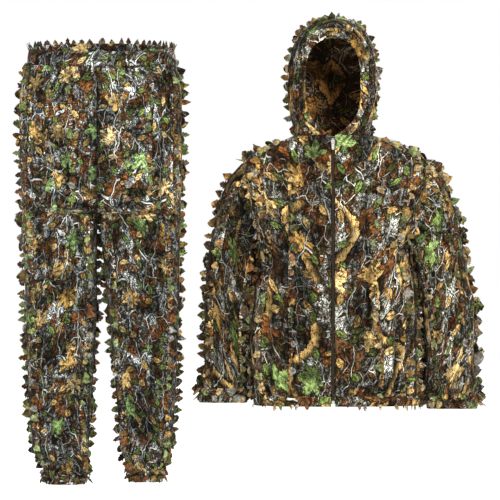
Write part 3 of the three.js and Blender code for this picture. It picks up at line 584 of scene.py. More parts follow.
def twigs(n, warped, under, height, spacing, width, colours, shift, stretch=(1.0, 0.6, 1.0)):
    """Thin wandering twigs with a dark edge."""
    place = n.vector("ADD", n.vector("MULTIPLY", warped, stretch), (shift, -shift, 0))
    cells = n.voronoi(n.vector("SCALE", place, scale=1 / spacing), "DISTANCE_TO_EDGE")
    distance = cells.outputs["Distance"]
    kept = n.range(n.noise(place, 18, 2, 0.6), 0.49, 0.53)
    edge = width / spacing
    dark = n.math("MULTIPLY", n.range(distance, edge * 0.9, edge * 2.6, 0.95, 0.0), kept)
    line = n.math("MULTIPLY", n.range(distance, edge * 0.45, edge * 0.9, 1.0, 0.0), kept)
    tone = n.mix(n.range(n.noise(place, 90, 3, 0.6), 0.35, 0.65), *colours)
    colour = n.mix(line, n.mix(dark, under, BLACK), tone)
    return colour, n.math("ADD", height, n.math("MULTIPLY", line, 0.6))


def trunks(n, warped, under, height, spacing, width):
    """Ochre trunks and branches running up the cloth, dark down one side."""
    x, y, _ = n.split(warped)
    sway = n.math("MULTIPLY_ADD", n.noise(n.join(0.3, y), 3.6, 1, 0.5), 0.30, -0.15)
    rough = n.math("MULTIPLY_ADD", n.noise(warped, 60, 3, 0.7), 0.020, -0.010)
    sway = n.math("ADD", sway, rough)
    across = n.math("DIVIDE", n.math("ADD", x, sway), spacing)
    number = n.math("FLOOR", across)
    part = n.math("SUBTRACT", n.math("FRACT", across), 0.5)
    random = n.noise(n.join(n.math("MULTIPLY", number, 7.31), 0.2), 1.0, 0)
    half = n.math("MULTIPLY", n.math("MULTIPLY_ADD", random, 1.1, 0.45), width / spacing / 2)
    distance = n.math("SUBTRACT", half, n.math("ABSOLUTE", part))
    kept = n.range(n.noise(n.join(n.math("MULTIPLY", number, 3.3), y), 7, 1), 0.45, 0.49)
    mask = n.math("MULTIPLY", n.range(distance, 0.0, 0.012), kept)
    shade = n.math("MULTIPLY", n.range(distance, -0.07, -0.01), kept)
    streak = n.noise(n.vector("MULTIPLY", warped, (1.0, 0.16, 1.0)), 260, 4, 0.75)
    tone = n.ramp(streak, [(0.36, BLACK), (0.44, OCHRE), (0.56, TAN), (0.66, OCHRE)])
    side = n.range(n.math("DIVIDE", part, half), -1.0, 0.6, 0.12, 1.15)
    tone = n.dimmed(tone, side)
    colour = n.mix(mask, n.mix(n.math("MULTIPLY", shade, 0.85), under, BLACK), tone)
    return colour, n.math("ADD", height, n.math("MULTIPLY", mask, 0.5))


PRINT_GAMMA = 1.16  # deepens the dark inks of the print


def print_group(name, patch, leaf, with_trunks, gain):
    """The printed pattern, layer on layer: takes a place on the cloth in metres, gives a colour and a height.

    patch and leaf are the sizes of the bark's patches and of the leaves, gain brightens the whole print."""
    group = bpy.data.node_groups.new(name, "ShaderNodeTree")
    group.interface.new_socket("Place", in_out="INPUT", socket_type="NodeSocketVector")
    group.interface.new_socket("Colour", in_out="OUTPUT", socket_type="NodeSocketColor")
    group.interface.new_socket("Height", in_out="OUTPUT", socket_type="NodeSocketFloat")
    n = Nodes(group)
    place = n.add("NodeGroupInput").outputs[0]
    wander = n.vector("SUBTRACT", n.noise(place, 22, 2, 0.55, colour=True), (0.5, 0.5, 0.5))
    warped = n.vector("ADD", place, n.vector("SCALE", wander, scale=0.022))
    colour, height = bark(n, warped, patch)
    colour, height = oval_leaves(n, place, colour, height, size=leaf * 0.55, share=0.45, slim=0.16,
                                 colours=(RUST, BROWN), shift=4.2)
    colour, height = twigs(n, warped, colour, height, spacing=0.030, width=0.0010, colours=(GREY, PALE), shift=0.4)
    if with_trunks:
        colour, height = trunks(n, place, colour, height, spacing=0.120, width=0.024)
    colour, height = lobed_leaves(n, place, colour, height, size=leaf * 1.05, share=0.28, lobes=5,
                                  colours=(RUST, BROWN), shift=5.0)
    colour, height = oval_leaves(n, place, colour, height, size=leaf * 0.62, share=0.34, slim=0.20,
                                 colours=(OLIVE, GREEN), shift=1.7)
    colour, height = oval_leaves(n, place, colour, height, size=leaf * 0.58, share=0.22, slim=0.24,
                                 colours=(OCHRE, TAN), shift=6.6)
    colour, height = lobed_leaves(n, place, colour, height, size=leaf * 1.3, share=0.26, lobes=7,
                                  colours=(OCHRE, TAN), shift=2.3)
    colour, height = twigs(n, warped, colour, height, spacing=0.085, width=0.0017, colours=(PALE, GREY), shift=1.9,
                           stretch=(1.6, 0.5, 1.0))
    colour, height = lobed_leaves(n, place, colour, height, size=leaf * 1.25, share=0.15, lobes=5,
                                  colours=(PALE_GREEN, GREEN), shift=8.1)
    ink = contour(n, warped, scale=46, turns=6.0, width=0.10, strength=0.85)
    colour = n.mix(ink, colour, BLACK)
    depth = n.range(n.noise(warped, 14, 3, 0.6), 0.36, 0.60, gain * 0.42, gain * 1.2)
    colour = n.dimmed(colour, depth)
    gamma = n.add("ShaderNodeGamma")
    gamma.inputs["Gamma"].default_value = PRINT_GAMMA
    n.put(gamma.inputs["Color"], colour)
    colour = gamma.outputs[0]
    out = n.add("NodeGroupOutput")
    n.put(out.inputs[0], colour)
    n.put(out.inputs[1], height)
    return group


def new_material(name):
    material = bpy.data.materials.new(name)
    material.use_nodes = True
    n = Nodes(material.node_tree)
    shader = material.node_tree.nodes["Principled BSDF"]
    return material, n, shader


PRINTED_THREAD = 0.0011  # metres from thread to thread of the printed cloth
BUMP_DEPTH = 0.0012  # metres of relief of the print, weave and wrinkles together


def weave_height(n, place, thread):
    """Fine crossing threads."""
    x, y, _ = n.split(n.vector("SCALE", place, scale=TURN / thread))
    return n.math("MULTIPLY", n.math("SINE", x), n.math("SINE", y))


def cloth_finish(n, shader, place, colour, height, rough=0.88, sheen=0.02, strength=0.5):
    """Matt cloth: the print's own relief, the weave and small wrinkles as bump."""
    weave = weave_height(n, place, PRINTED_THREAD)
    total = n.math("ADD", n.math("MULTIPLY", height, 0.5), n.math("MULTIPLY", weave, 0.12))
    total = n.math("ADD", total, n.math("MULTIPLY", n.noise(place, 420, 3, 0.6), 0.5))
    n.bump(shader, total, strength, BUMP_DEPTH)
    n.put(shader.inputs["Base Color"], colour)
    n.put(shader.inputs["Roughness"], n.range(n.noise(place, 60, 2), 0.3, 0.7, rough - 0.08, rough + 0.06))
    shader.inputs["Sheen Weight"].default_value = sheen
    shader.inputs["Sheen Roughness"].default_value = 0.5
    shader.inputs["Specular IOR Level"].default_value = 0.06


def grouped(n, group, place):
    node = n.add("ShaderNodeGroup", node_tree=group)
    n.put(node.inputs[0], place)
    return node.outputs[0], node.outputs[1]


def printed_cloth(name, group, gain):
    material, n, shader = new_material(name)
    place = n.attribute("print")
    colour, height = grouped(n, group, place)
    colour = n.times(colour, gain)
    # painted shade in the folds and painted highlight on the crests, read from the fold attribute
    colour = n.times(colour, n.attribute("fold"))
    cloth_finish(n, shader, place, colour, height)
    return material


def printed_parts(name, group, gain):
    """The print on a piece kept from the CAD: laid on by its place in the XZ plane."""
    material, n, shader = new_material(name)
    x, _, z = n.split(n.add("ShaderNodeTexCoord").outputs["Object"])
    place = n.join(x, z)
    colour, height = grouped(n, group, place)
    cloth_finish(n, shader, place, n.times(colour, gain), height)
    return material


def printed_inside(name, group, tone):
    """The back of the printed cloth: the print shows through, dark and brown, and darker still as painted shade
    inside the garment.
    """
    material, n, shader = new_material(name)
    place = n.attribute("print")
    colour, height = grouped(n, group, place)
    colour = n.mix(0.3, n.times(colour, tone), (0.035, 0.021, 0.012))
    cloth_finish(n, shader, place, colour, height, 0.92, 0.01, 0.3)
    return material


def leaf_cloth(name, group):
    """Cut leaves: the print with a tint of their own, a midrib, side veins and a darker edge."""
    material, n, shader = new_material(name)
    place = n.attribute("print")
    printed, height = grouped(n, group, place)
    tint = n.add("ShaderNodeAttribute", attribute_name="tint")
    along, across, _ = n.split(n.attribute("leaf"))
    mottle = n.range(n.noise(place, 150, 4, 0.65), 0.30, 0.68, 0.35, 1.5)
    patch = n.range(n.noise(place, 60, 2, 0.6), 0.40, 0.60, 0.55, 1.2)
    value = n.math("MULTIPLY", mottle, patch)
    own = n.dimmed(tint.outputs["Color"], value)
    colour = n.mix(tint.outputs["Alpha"], printed, own)
    side = n.math("ABSOLUTE", across)
    rib = n.range(side, 0.02, 0.09, 0.55, 0.0)
    slant = n.math("SUBTRACT", n.math("MULTIPLY", along, 5.0), n.math("MULTIPLY", side, 1.6))
    wave = n.math("ABSOLUTE", n.math("SUBTRACT", n.math("FRACT", slant), 0.5))
    vein = n.math("MAXIMUM", rib, n.range(wave, 0.0, 0.09, 0.45, 0.0))
    colour = n.mix(vein, colour, DARK_BROWN)
    edge = n.range(side, 0.80, 1.0, 0.0, 0.25)
    colour = n.mix(edge, colour, DARK_BROWN)
    total = n.math("SUBTRACT", height, n.math("MULTIPLY", vein, 1.4))
    cloth_finish(n, shader, place, colour, total, 0.86, 0.03, 0.6)
    return material


def plain_cloth(name, colour_a, colour_b, thread):
    """Plain woven cloth on the CAD nodes, by object coordinates."""
    material, n, shader = new_material(name)
    place = n.add("ShaderNodeTexCoord").outputs["Object"]
    tone = n.noise(place, 90, 3, 0.6)
    x, y, z = n.split(n.vector("SCALE", place, scale=TURN / thread))
    height = n.math("MULTIPLY", n.math("SINE", n.math("ADD", x, y)), n.math("SINE", z))
    # painted shade in the weave's hollows and painted light on its crests
    shade = n.range(height, -1.0, 1.0, 0.7, 1.1, soft=False)
    colour = n.mix(tone, colour_a, colour_b)
    colour = n.dimmed(colour, shade)
    n.bump(shader, height, 0.5, 0.0004)
    n.put(shader.inputs["Base Color"], colour)
    shader.inputs["Roughness"].default_value = 0.88
    shader.inputs["Specular IOR Level"].default_value = 0.25
    return material


def worn_metal(name):
    """Dull cast metal with fine scratches and darker handled patches."""
    material, n, shader = new_material(name)
    place = n.add("ShaderNodeTexCoord").outputs["Object"]
    patch = n.noise(place, 400, 4, 0.6)
    scratch = n.noise(n.vector("MULTIPLY", place, (1.0, 1.0, 0.08)), 2600, 3, 0.7)
    colour = n.mix(n.range(patch, 0.4, 0.65), (0.50, 0.47, 0.40), (0.72, 0.70, 0.64))
    n.put(shader.inputs["Base Color"], colour)
    n.put(shader.inputs["Roughness"], n.range(scratch, 0.3, 0.7, 0.25, 0.5))
    shader.inputs["Metallic"].default_value = 1.0
    n.bump(shader, scratch, 0.2, 0.0002)
    return material


jacket_print = print_group("jacket_print", patch=0.085, leaf=0.070, with_trunks=True, gain=1.56)
trouser_print = print_group("trouser_print", patch=0.065, leaf=0.054, with_trunks=False, gain=1.54)
jacket_cloth = printed_cloth("jacket_cloth_print", jacket_print, (1.06, 1.08, 1.08))
jacket_inside = printed_inside("jacket_cloth_inside", jacket_print, (0.72, 0.56, 0.42))
trouser_cloth = printed_cloth("trouser_cloth_print", trouser_print, (1.10, 1.20, 1.34))
trouser_inside = printed_inside("trouser_cloth_inside", trouser_print, (0.25, 0.23, 0.20))
jacket_leaf = leaf_cloth("jacket_leaf_cloth", jacket_print)
trouser_leaf = leaf_cloth("trouser_leaf_cloth", trouser_print)
lining = plain_cloth("lining_weave", (0.040, 0.028, 0.018), (0.065, 0.045, 0.028), 0.0009)
tape_cloth = printed_parts("zip_tape_print", jacket_print, (0.55, 0.50, 0.42))
welt_cloth = printed_parts("pocket_welt_print", trouser_print, (0.30, 0.27, 0.22))
binding_cloth = printed_cloth("face_binding_print", jacket_print, (0.95, 0.95, 0.90))
metal = worn_metal("zip_metal_worn")


def coil_plastic():
    material, n, shader = new_material("zip_coil_plastic")
    place = n.add("ShaderNodeTexCoord").outputs["Object"]
    tone = n.noise(place, 300, 3, 0.6)
    n.put(shader.inputs["Base Color"], n.mix(tone, (0.008, 0.006, 0.004), (0.026, 0.018, 0.011)))
    n.put(shader.inputs["Roughness"], n.range(tone, 0.3, 0.7, 0.5, 0.7))
    shader.inputs["Specular IOR Level"].default_value = 0.15
    return material


coil_finish = coil_plastic()

# ---------------------------------------------------------------- leaves
LEAF_STATIONS = np.array([0.0, 0.16, 0.34, 0.52, 0.70, 0.87, 1.0])
LEAF_ACROSS = np.array([-1.0, -0.5, 0.0, 0.5, 1.0])
LEAF_OUTLINES = np.array([
    [0.90, 1.00, 0.96, 0.80, 0.58, 0.30, 0.04],  # pointed
    [0.80, 1.00, 0.96, 0.78, 0.50, 0.24, 0.03],  # pointed and full
    [0.62, 1.00, 0.64, 0.88, 0.50, 0.40, 0.03],  # lobed
    [0.95, 0.70, 1.00, 0.56, 0.70, 0.30, 0.03],  # deeply lobed
    [0.80, 1.00, 1.00, 0.92, 0.76, 0.48, 0.15],  # rounded
])
RIBBON_OUTLINE = np.ones((1, 7))
STRAND_OUTLINE = np.array([[0.7, 1.0, 1.0, 0.9, 0.8, 0.6, 0.2]])
BROWN_TINTS = [OCHRE, TAN, PALE_GREEN, RUST, BROWN, GREY, TAN, OLIVE]
GREEN_TINTS = [OLIVE, PALE_GREEN, GREY, GREEN, OCHRE, BROWN, PALE_GREEN, RUST]
DARK_TINTS = [DARK_BROWN, BROWN, RUST, OLIVE, DARK_BROWN, BROWN, OCHRE, OLIVE]
STRIP_PITCH = 23  # from leaf to leaf along a strip
LEAF_LENGTH, LEAF_WIDTH = (13, 27), (16, 27)  # the smallest and the largest leaf of a strip
LEAF_INSET = 1.5  # how far a leaf's base lies under its strip
RIBBON_STEP = 14.0  # the strip itself is laid in short lengths that overlap
RIBBON_LENGTH, RIBBON_WIDTH, RIBBON_AIM = 16, 9, 15.5
PRINT_SPREAD = 3000  # leaves take their print from anywhere in this many millimetres


class Leaves:
    """Collects cut leaves and makes one object of them."""

    def __init__(self, seed, tints, tinted=0.6):
        self.random = np.random.default_rng(seed)
        self.tints = np.array(tints)
        self.tinted = tinted
        self.points, self.prints, self.places, self.colours = [], [], [], []

    def add(self, base, forward, normal, length, width, tilt, curl, place, outlines=LEAF_OUTLINES, loose=1.0):
        """One leaf for each row of the arrays: forward lies in the cloth, tilt lifts it off."""
        r, count = self.random, len(base)
        t = LEAF_STATIONS[None, :, None]
        s = LEAF_ACROSS[None, None, :]
        steps = np.diff(LEAF_STATIONS, prepend=0.0)[None, :]
        bend = tilt[:, None] + curl[:, None] * LEAF_STATIONS[None, :]
        reach = np.cumsum(np.cos(bend) * steps, axis=1) * length[:, None]
        rise = np.cumsum(np.sin(bend) * steps, axis=1) * length[:, None]
        outline = outlines[r.integers(0, len(outlines), count)]
        outline = outline * (1 + loose * r.uniform(-0.08, 0.08, outline.shape))
        half = outline[:, :, None] * (width / 2)[:, None, None] * s
        lean = loose * r.uniform(-0.22, 0.22, count)[:, None, None] * t * length[:, None, None]
        cup = loose * r.uniform(-0.3, 0.5, count)[:, None, None] * half ** 2 / width[:, None, None]
        twist = loose * r.uniform(-0.4, 0.4, count)[:, None, None] * t * half
        side = unit(np.cross(normal, forward))
        spread = (half + lean)[..., None] * side[:, None, None, :]
        ahead = reach[:, :, None, None] * forward[:, None, None, :]
        lift = (rise[:, :, None] + cup + twist)[..., None] * normal[:, None, None, :]
        self.points.append(base[:, None, None, :] + spread + ahead + lift)
        flat = np.stack([t * length[:, None, None] + 0 * half, half + lean], axis=-1)
        self.prints.append(flat + place[:, None, None, :])
        where = np.stack([t + 0 * half, s + 0 * half, 0 * half], axis=-1)
        self.places.append(where)
        tint = self.tints[r.integers(0, len(self.tints), count)] * r.uniform(0.75, 1.4, (count, 1))
        plain = r.uniform(0, 1, count) > self.tinted * loose
        strength = np.where(plain, 0.0, r.uniform(0.45, 0.9, count))
        colour = np.concatenate([tint, strength[:, None]], axis=1)
        self.colours.append(np.repeat(colour[:, None], t.size * s.size, axis=1))

    def build(self, name, material):
        points = np.concatenate(self.points)
        count, rows, columns = points.shape[:3]
        r, c = np.meshgrid(np.arange(rows - 1), np.arange(columns - 1), indexing="ij")
        corner = (r * columns + c).ravel()
        quad = np.stack([corner, corner + 1, corner + columns + 1, corner + columns], axis=1)
        faces = (quad[None] + (np.arange(count) * rows * columns)[:, None, None]).reshape(-1, 4)
        attributes = [
            ("print", "FLOAT_VECTOR", print_values(np.concatenate(self.prints), (0, 0))),
            ("leaf", "FLOAT_VECTOR", np.concatenate(self.places)),
            ("tint", "FLOAT_COLOR", np.concatenate(self.colours)),
        ]
        obj = mesh_object(name, points.reshape(-1, 3), faces, attributes)
        obj.data.materials.append(material)
        thicken(obj, LEAF_CLOTH)
        return obj


def leaf_row(leaves, sheet, column, pitch=STRIP_PITCH, start=0.02, end=0.98, stand=(0.15, 0.75), size=1.0,
             fore=(-0.15, 0.45), hands=(1, -1), ribbon=True):
    """A sewn strip down the sheet at a share of its width, cut into leaves along its sides.

    stand is the range of angles at which leaves leave the cloth, fore how far they point down it."""
    r = leaves.random
    rows, columns = sheet.points.shape[:2]
    middle = column * (columns if sheet.closed else columns - 1)
    nodes = np.arange(rows).astype(float)
    line = sheet.sample(np.minimum(nodes, rows - 1.001), np.full(rows, middle))[0]
    travel = np.concatenate([[0], np.cumsum(np.linalg.norm(np.diff(line, axis=0), axis=1))])
    shift = r.uniform(0, PRINT_SPREAD, 2)

    def at(stops, sway):
        row = np.interp(np.clip(stops, 0, travel[-1]), travel, nodes)
        return sheet.sample(np.clip(row, 0, rows - 1.001), middle + sway)

    sway_unit = STRIP_SWAY * (columns / max(sheet.flat_width, 1))
    wave = r.uniform(0, TURN)

    def wandering(stops):
        return sway_unit * np.sin(stops / STRIP_WAVE + wave)

    for hand in hands:
        count = max(2, int(travel[-1] * (end - start) / pitch))
        stops = (np.linspace(start, end, count) * travel[-1] + r.uniform(-0.32, 0.32, count) * pitch
                 + (hand < 0) * pitch / 2)
        base, normal, fall, printed = at(stops, wandering(stops))
        sideways = unit(np.cross(normal, fall))
        droop = r.uniform(*fore, count)
        forward = sideways * (hand * np.cos(droop))[:, None] + fall * np.sin(droop)[:, None]
        length = r.uniform(*LEAF_LENGTH, count) * size
        width = r.uniform(*LEAF_WIDTH, count) * size * pitch / STRIP_PITCH
        tilt = r.uniform(*stand, count)
        curl = r.uniform(-0.7, 0.6, count)
        sewn = 0.9 if stand[0] < 0.5 else -0.8  # leaves that stand up start just under the cloth's face
        place = base + normal * sewn - forward * LEAF_INSET
        leaves.add(place, forward, normal, length, width, tilt, curl, printed + shift)
    if ribbon:
        stops = np.arange(start * travel[-1], end * travel[-1] - RIBBON_STEP, RIBBON_STEP)
        base, normal, fall, printed = at(stops, wandering(stops))
        ahead = at(stops + RIBBON_AIM, wandering(stops + RIBBON_AIM))[0]
        flat = np.zeros(len(stops))
        lift = 1.3 + 0.4 * (np.arange(len(stops)) % 2)
        leaves.add(base + normal * lift[:, None], unit(ahead - base), normal, flat + RIBBON_LENGTH,
                   flat + RIBBON_WIDTH, flat, flat, printed + shift, RIBBON_OUTLINE, 0.0)


def seam_row(leaves, sheet, column, pitch=STRIP_PITCH, start=0.02, end=0.98, size=1.0):
    """A strip whose leaves stand straight out from a side seam, closer on one hand than on the other."""
    leaf_row(leaves, sheet, column, pitch, start, end, stand=(0.85, 1.5), size=size * 0.95, fore=(-0.6, 0.6),
             hands=(1,), ribbon=False)
    leaf_row(leaves, sheet, column, pitch * 1.3, start, end, stand=(0.6, 1.3), size=size * 0.9, fore=(-0.4, 0.7),
             hands=(-1,), ribbon=False)


# ---------------------------------------------------------------- jacket body
JACKET_LENGTH = 672
HEM_BAND = 24
HEM_WALL = 2.6  # thickness of the folded hem
ARMHOLE_LENGTH = 210
ARMHOLE_DEPTH = 64
ZIP_HALF_GAP = 5.2
ZIP_FACING = 24
# half widths and heights of each side, then its seeds for folds and leaves, its darkening (partly darker cloth,
# partly painted shade on the side the key light reaches less) and where its print starts
JACKET = {
    "right": {"sign": -1, "neck": 95, "shoulder": 214, "drop": 60, "underarm": 186, "waist": 205, "hem": 196,
              "folds": 11, "leaves": 201, "dark": 0.16, "print": (0.0, 0.1)},
    "left": {"sign": 1, "neck": 104, "shoulder": 236, "drop": 66, "underarm": 190, "waist": 214, "hem": 219,
             "folds": 21, "leaves": 202, "dark": 0.04, "print": (0.9, 0.1)},
}
FRONT_DEPTH = (108, 122)
back_depth = curve_table([[-672, 112], [-500, 112], [-180, 118], [-60, 102], [0, 78]])
for shape in JACKET.values():
    shape["edge"] = curve_table([
        [-JACKET_LENGTH, shape["hem"]],
        [-500, shape["waist"]],
        [-(shape["drop"] + ARMHOLE_LENGTH), shape["underarm"]],
        [-shape["drop"], shape["shoulder"]],
        [0, shape["neck"]],
    ])


def armhole_half(shape, z):
    middle = -(shape["drop"] + ARMHOLE_LENGTH / 2)
    share = np.clip(np.abs(z - middle) / (ARMHOLE_LENGTH / 2), 0, 1)
    return ARMHOLE_DEPTH * (1 - share ** ROUNDNESS) ** (1 / ROUNDNESS)


def jacket_points(shape, front, turn, z):
    edge = shape["edge"](z)[0]
    gap = np.maximum(armhole_half(shape, z), SEAM / 2)
    depth = lerp(*FRONT_DEPTH, -z / JACKET_LENGTH) if front else back_depth(z)[0]
    x = edge * rounded(np.sin(turn))
    y = gap + (depth - gap) * rounded(np.cos(turn))
    return np.stack([shape["sign"] * x, -y if front else y, z + 0 * x], axis=-1)


def turn_at(shape, z, width):
    return np.arcsin(np.clip(width / shape["edge"](z)[0], 0, 1) ** (ROUNDNESS / 2))


def jacket_heights(shape, bottom):
    yoke = -np.linspace(0.2, shape["drop"], 22)[:-1]
    swing = (1 - np.cos(np.linspace(0, math.pi, 44))) / 2
    armhole = -(shape["drop"] + ARMHOLE_LENGTH * swing)[:-1]
    flank = -np.linspace(shape["drop"] + ARMHOLE_LENGTH, bottom, 76)
    return np.concatenate([yoke, armhole, flank])


EVEN = (1, 1, 1)
BODY_FOLDS = [(6.5, 120, 0, (1, 1, 0.5)), (4.2, 44, 1, (1, 1, 0.36)), (2.2, 26, 2, (1, 1, 0.8)), (0.7, 11, 3, EVEN)]
BODY_LIMITS = (-10, 9)  # deepest valley and highest crest
BODY_RIM = (12, 10)  # folds fade out this far from the neck seam and from the hem band


def crease(points, start, end, width, depth):
    """A valley with a raised bank along a line in the XZ plane, fading towards its end."""
    a, b = np.array(start, float), np.array(end, float)
    flat = points[..., [0, 2]]
    t = np.clip(((flat - a) @ (b - a)) / np.dot(b - a, b - a), 0, 1)
    line = a + t[..., None] * (b - a)
    distance = np.linalg.norm(flat - line, axis=-1)
    shape = bell(distance, width) - 0.55 * bell(distance - 2.1 * width, width)
    return -depth * shape * (1 - t) ** 0.7


def creases(points, sign, rows, middle=0):
    """One crease for each row of start and end (sideways from the middle, height), width and depth."""
    return [crease(points, (middle + sign * start[0], start[1]), (middle + sign * end[0], end[1]), width, depth)
            for start, end, width, depth in rows]


FACING_SHARE = 0.08  # share of a front's columns that lies on its zip facing
FRONT_CREASES = [
    ((205, -120), (120, -200), 8, 4),
    ((60, -10), (150, -120), 9, 3),
    ((158, -640), (160, -360), 7, 8),
    ((120, -650), (95, -420), 8, 5),
]
BACK_FOLDS_SEED = 31
BACK_CREASES = [((190, -265), (110, -400), 10, 8), ((200, -130), (90, -210), 9, 5)]


def jacket_front(name):
    shape = JACKET[name]
    z = jacket_heights(shape, JACKET_LENGTH - HEM_BAND - SEAM)[:, None]
    count = 46
    inner = turn_at(shape, z, ZIP_HALF_GAP)
    flat = turn_at(shape, z, ZIP_FACING)
    share = np.linspace(0, 1, count)[None, :]
    facing = lerp(inner, flat, share / FACING_SHARE)
    turn = np.where(share < FACING_SHARE, facing, lerp(flat, QUARTER, (share - FACING_SHARE) / (1 - FACING_SHARE)))
    points = jacket_points(shape, True, turn, z)
    points[:, 0, 0] = shape["sign"] * ZIP_HALF_GAP
    sheet = Sheet(points, 0 * points)
    sign = shape["sign"]
    under = -(shape["drop"] + ARMHOLE_LENGTH)
    armpit = [((186, under + 30), (118, under - 150), 9, 8), ((192, under - 10), (150, under - 210), 8, 6)]
    amount = sum(creases(points, sign, armpit + FRONT_CREASES), lumps(points, shape["folds"], BODY_FOLDS))
    # painted shade on the body beside the sleeve, where the sleeve hangs over it
    sheet.darken(0.85 * bell(sheet.across[:, -1:] - sheet.across, 32) * smooth(-z, 240, 320))  # beside the sleeve
    # the whole front darker: partly darker cloth, partly painted shade on the side the key light reaches less
    sheet.darken(shape["dark"])
    placket = 1.6 * bell(sheet.across - 19, 3.0) - 1.4 * bell(sheet.across - 25, 2.2)
    sheet.push(np.clip(amount, *BODY_LIMITS) * sheet.fade(26, 16, *BODY_RIM) + placket)
    return sheet


def jacket_back():
    right, left = JACKET["right"], JACKET["left"]
    bottom = JACKET_LENGTH - HEM_BAND - SEAM
    z_right, z_left = jacket_heights(right, bottom), jacket_heights(left, bottom)
    share = np.linspace(-1, 1, 95)[None, :]
    middle = ((z_right + z_left) / 2)[:, None]
    side_z = np.where(share < 0, z_right[:, None], z_left[:, None])
    z = lerp(middle, side_z, np.abs(share) ** 0.5)
    turn = np.abs(share) * QUARTER
    halves = [jacket_points(shape, False, turn, z) for shape in (right, left)]
    points = np.where((share < 0)[..., None], *halves)
    sheet = Sheet(points, 0 * points)
    both_sides = creases(points, -1, BACK_CREASES) + creases(points, 1, BACK_CREASES)
    amount = sum(both_sides, lumps(points, BACK_FOLDS_SEED, BODY_FOLDS))
    amount += -1.6 * bell(points[..., 0], 2.5)  # the seam down the middle
    sheet.push(np.clip(amount, *BODY_LIMITS) * sheet.fade(16, 16, *BODY_RIM))
    return sheet


# ---------------------------------------------------------------- sleeves
CUFF_BAND = 26
CASING = 5.1
# outlines as (sideways, drop) from shoulder to cuff, then the darkening, leaves and seeds of each sleeve; the
# darkening is partly darker cloth and partly painted shade on the side the key light reaches less
SLEEVES = {
    "right": {
        "outer": [[262, 112], [290, 205], [311, 310], [319, 430], [318, 540]], "outer_cuff": 333,
        "inner": [[191, 288], [195, 320], [203, 380], [210, 460], [214, 550]], "inner_cuff": 212,
        "cuff": 664, "dark": 0.54, "tints": DARK_TINTS, "seam_start": 0.10, "seam_size": 0.95,
        "seeds": {"folds": 41, "leaves": 221, "painted_shade_leaves": 225, "fringe": 227, "cuff": 231},
    },
    "left": {
        "outer": [[286, 125], [312, 215], [334, 320], [352, 440], [352, 550]], "outer_cuff": 362,
        "inner": [[196, 292], [204, 325], [216, 390], [228, 470], [234, 560]], "inner_cuff": 236,
        "cuff": 679, "dark": 0.05, "tints": BROWN_TINTS, "seam_start": 0.02, "seam_size": 1.2,
        "seeds": {"folds": 51, "leaves": 222, "painted_shade_leaves": 226, "fringe": 228, "cuff": 233},
    },
}
SLEEVE_DEPTH = [64, 69, 69, 66, 62, 59, 48]
SLEEVE_FOLDS = [(3.6, 95, 0, (1, 1, 0.7)), (2.2, 30, 1, (1, 1, 0.7)), (0.8, 11, 3, EVEN)]


def sleeve_table(name):
    shape, sleeve = JACKET[name], SLEEVES[name]
    end = sleeve["cuff"] - CUFF_BAND
    outer = [[shape["shoulder"], shape["drop"]], *sleeve["outer"], [sleeve["outer_cuff"], end]]
    inner = [[shape["underarm"], shape["drop"] + ARMHOLE_LENGTH], *sleeve["inner"], [sleeve["inner_cuff"], end]]
    rows = [[i, *outer[i], *inner[i], SLEEVE_DEPTH[i]] for i in range(7)]
    return curve_table(rows)


def sleeve_ring(sign, values, angle, inset=0.0):
    outer_x, outer_drop, inner_x, inner_drop, depth = values
    across = np.stack([outer_x - inner_x, inner_drop - outer_drop], axis=-1)
    half = np.linalg.norm(across, axis=-1) / 2
    across = across / (2 * half[..., None])
    reach = (half - inset) * rounded(np.cos(angle))
    x = (outer_x + inner_x) / 2 + across[..., 0] * reach
    z = -(outer_drop + inner_drop) / 2 + across[..., 1] * reach
    return np.stack([sign * x, (depth - inset) * rounded(np.sin(angle)), z], axis=-1)


def sleeve_sheet(name):
    """Stations run from the armhole at 0 to the cuff at 6; the angle starts on the outer seam."""
    sign, at, sleeve = JACKET[name]["sign"], sleeve_table(name), SLEEVES[name]
    stations = np.linspace(0.012, 6, 118)[:, None]
    angle = np.linspace(0, TURN, 84, endpoint=False)[None, :]
    points = sleeve_ring(sign, at(stations + 0 * angle), angle + 0 * stations)
    sheet = Sheet(points, points.mean(axis=1, keepdims=True), closed=True)
    seed = sleeve["seeds"]["folds"]
    s = stations + 0 * angle
    amount = lumps(points, seed, SLEEVE_FOLDS)
    elbow = bell(s - 3.4, 0.8)
    amount += elbow * 4.5 * noise(points, 46, seed + 4, (0.6, 0.6, 2.4))
    armpit = bell(s - 0.9, 0.7) * smooth(-np.cos(angle), -0.4, 0.8)
    amount += armpit * 5.0 * noise(points, 40, seed + 5, (0.8, 0.8, 1.8))
    cuff = smooth(s, 4.6, 5.9)
    amount += cuff * (3.6 * noise(points, 40, seed + 6, (0.7, 0.7, 2.6)) + 2.0)
    gather = smooth(s, 5.2, 6.0) * 2.6 * noise(points, 11, seed + 7, (1, 1, 0.25))
    sheet.push(np.clip(amount, -8, 9) * sheet.fade(top=16, bottom=14) + gather * sheet.fade(bottom=4))
    # painted shade along the sleeve's inner side, where it hangs against the body
    from_inner_seam = np.abs(angle / TURN - 0.5) * sheet.flat_width + 0 * stations
    sheet.darken(0.85 * bell(from_inner_seam, 40))
    # the whole sleeve darker: partly darker cloth, partly painted shade on the side the key light reaches less
    sheet.darken(sleeve["dark"])
    return sheet


# ---------------------------------------------------------------- folded bands
def band_profile(height, wall=CASING, steps=9):
    """Corners [depth, height] round a folded band, from the open edge down the outside and back."""
    down = np.linspace(0, 1, steps)
    outside = [(-1.2 * math.sin(math.pi * t), t * height) for t in down]
    fold = [(wall / 2 - wall / 2 * math.cos(a), height + wall * 0.35 * math.sin(a))
            for a in np.linspace(0, math.pi, 5)[1:-1]]
    inside = [(wall + 0.6 * math.sin(math.pi * t), t * height) for t in down[::-1]]
    return np.array(outside + fold + inside)


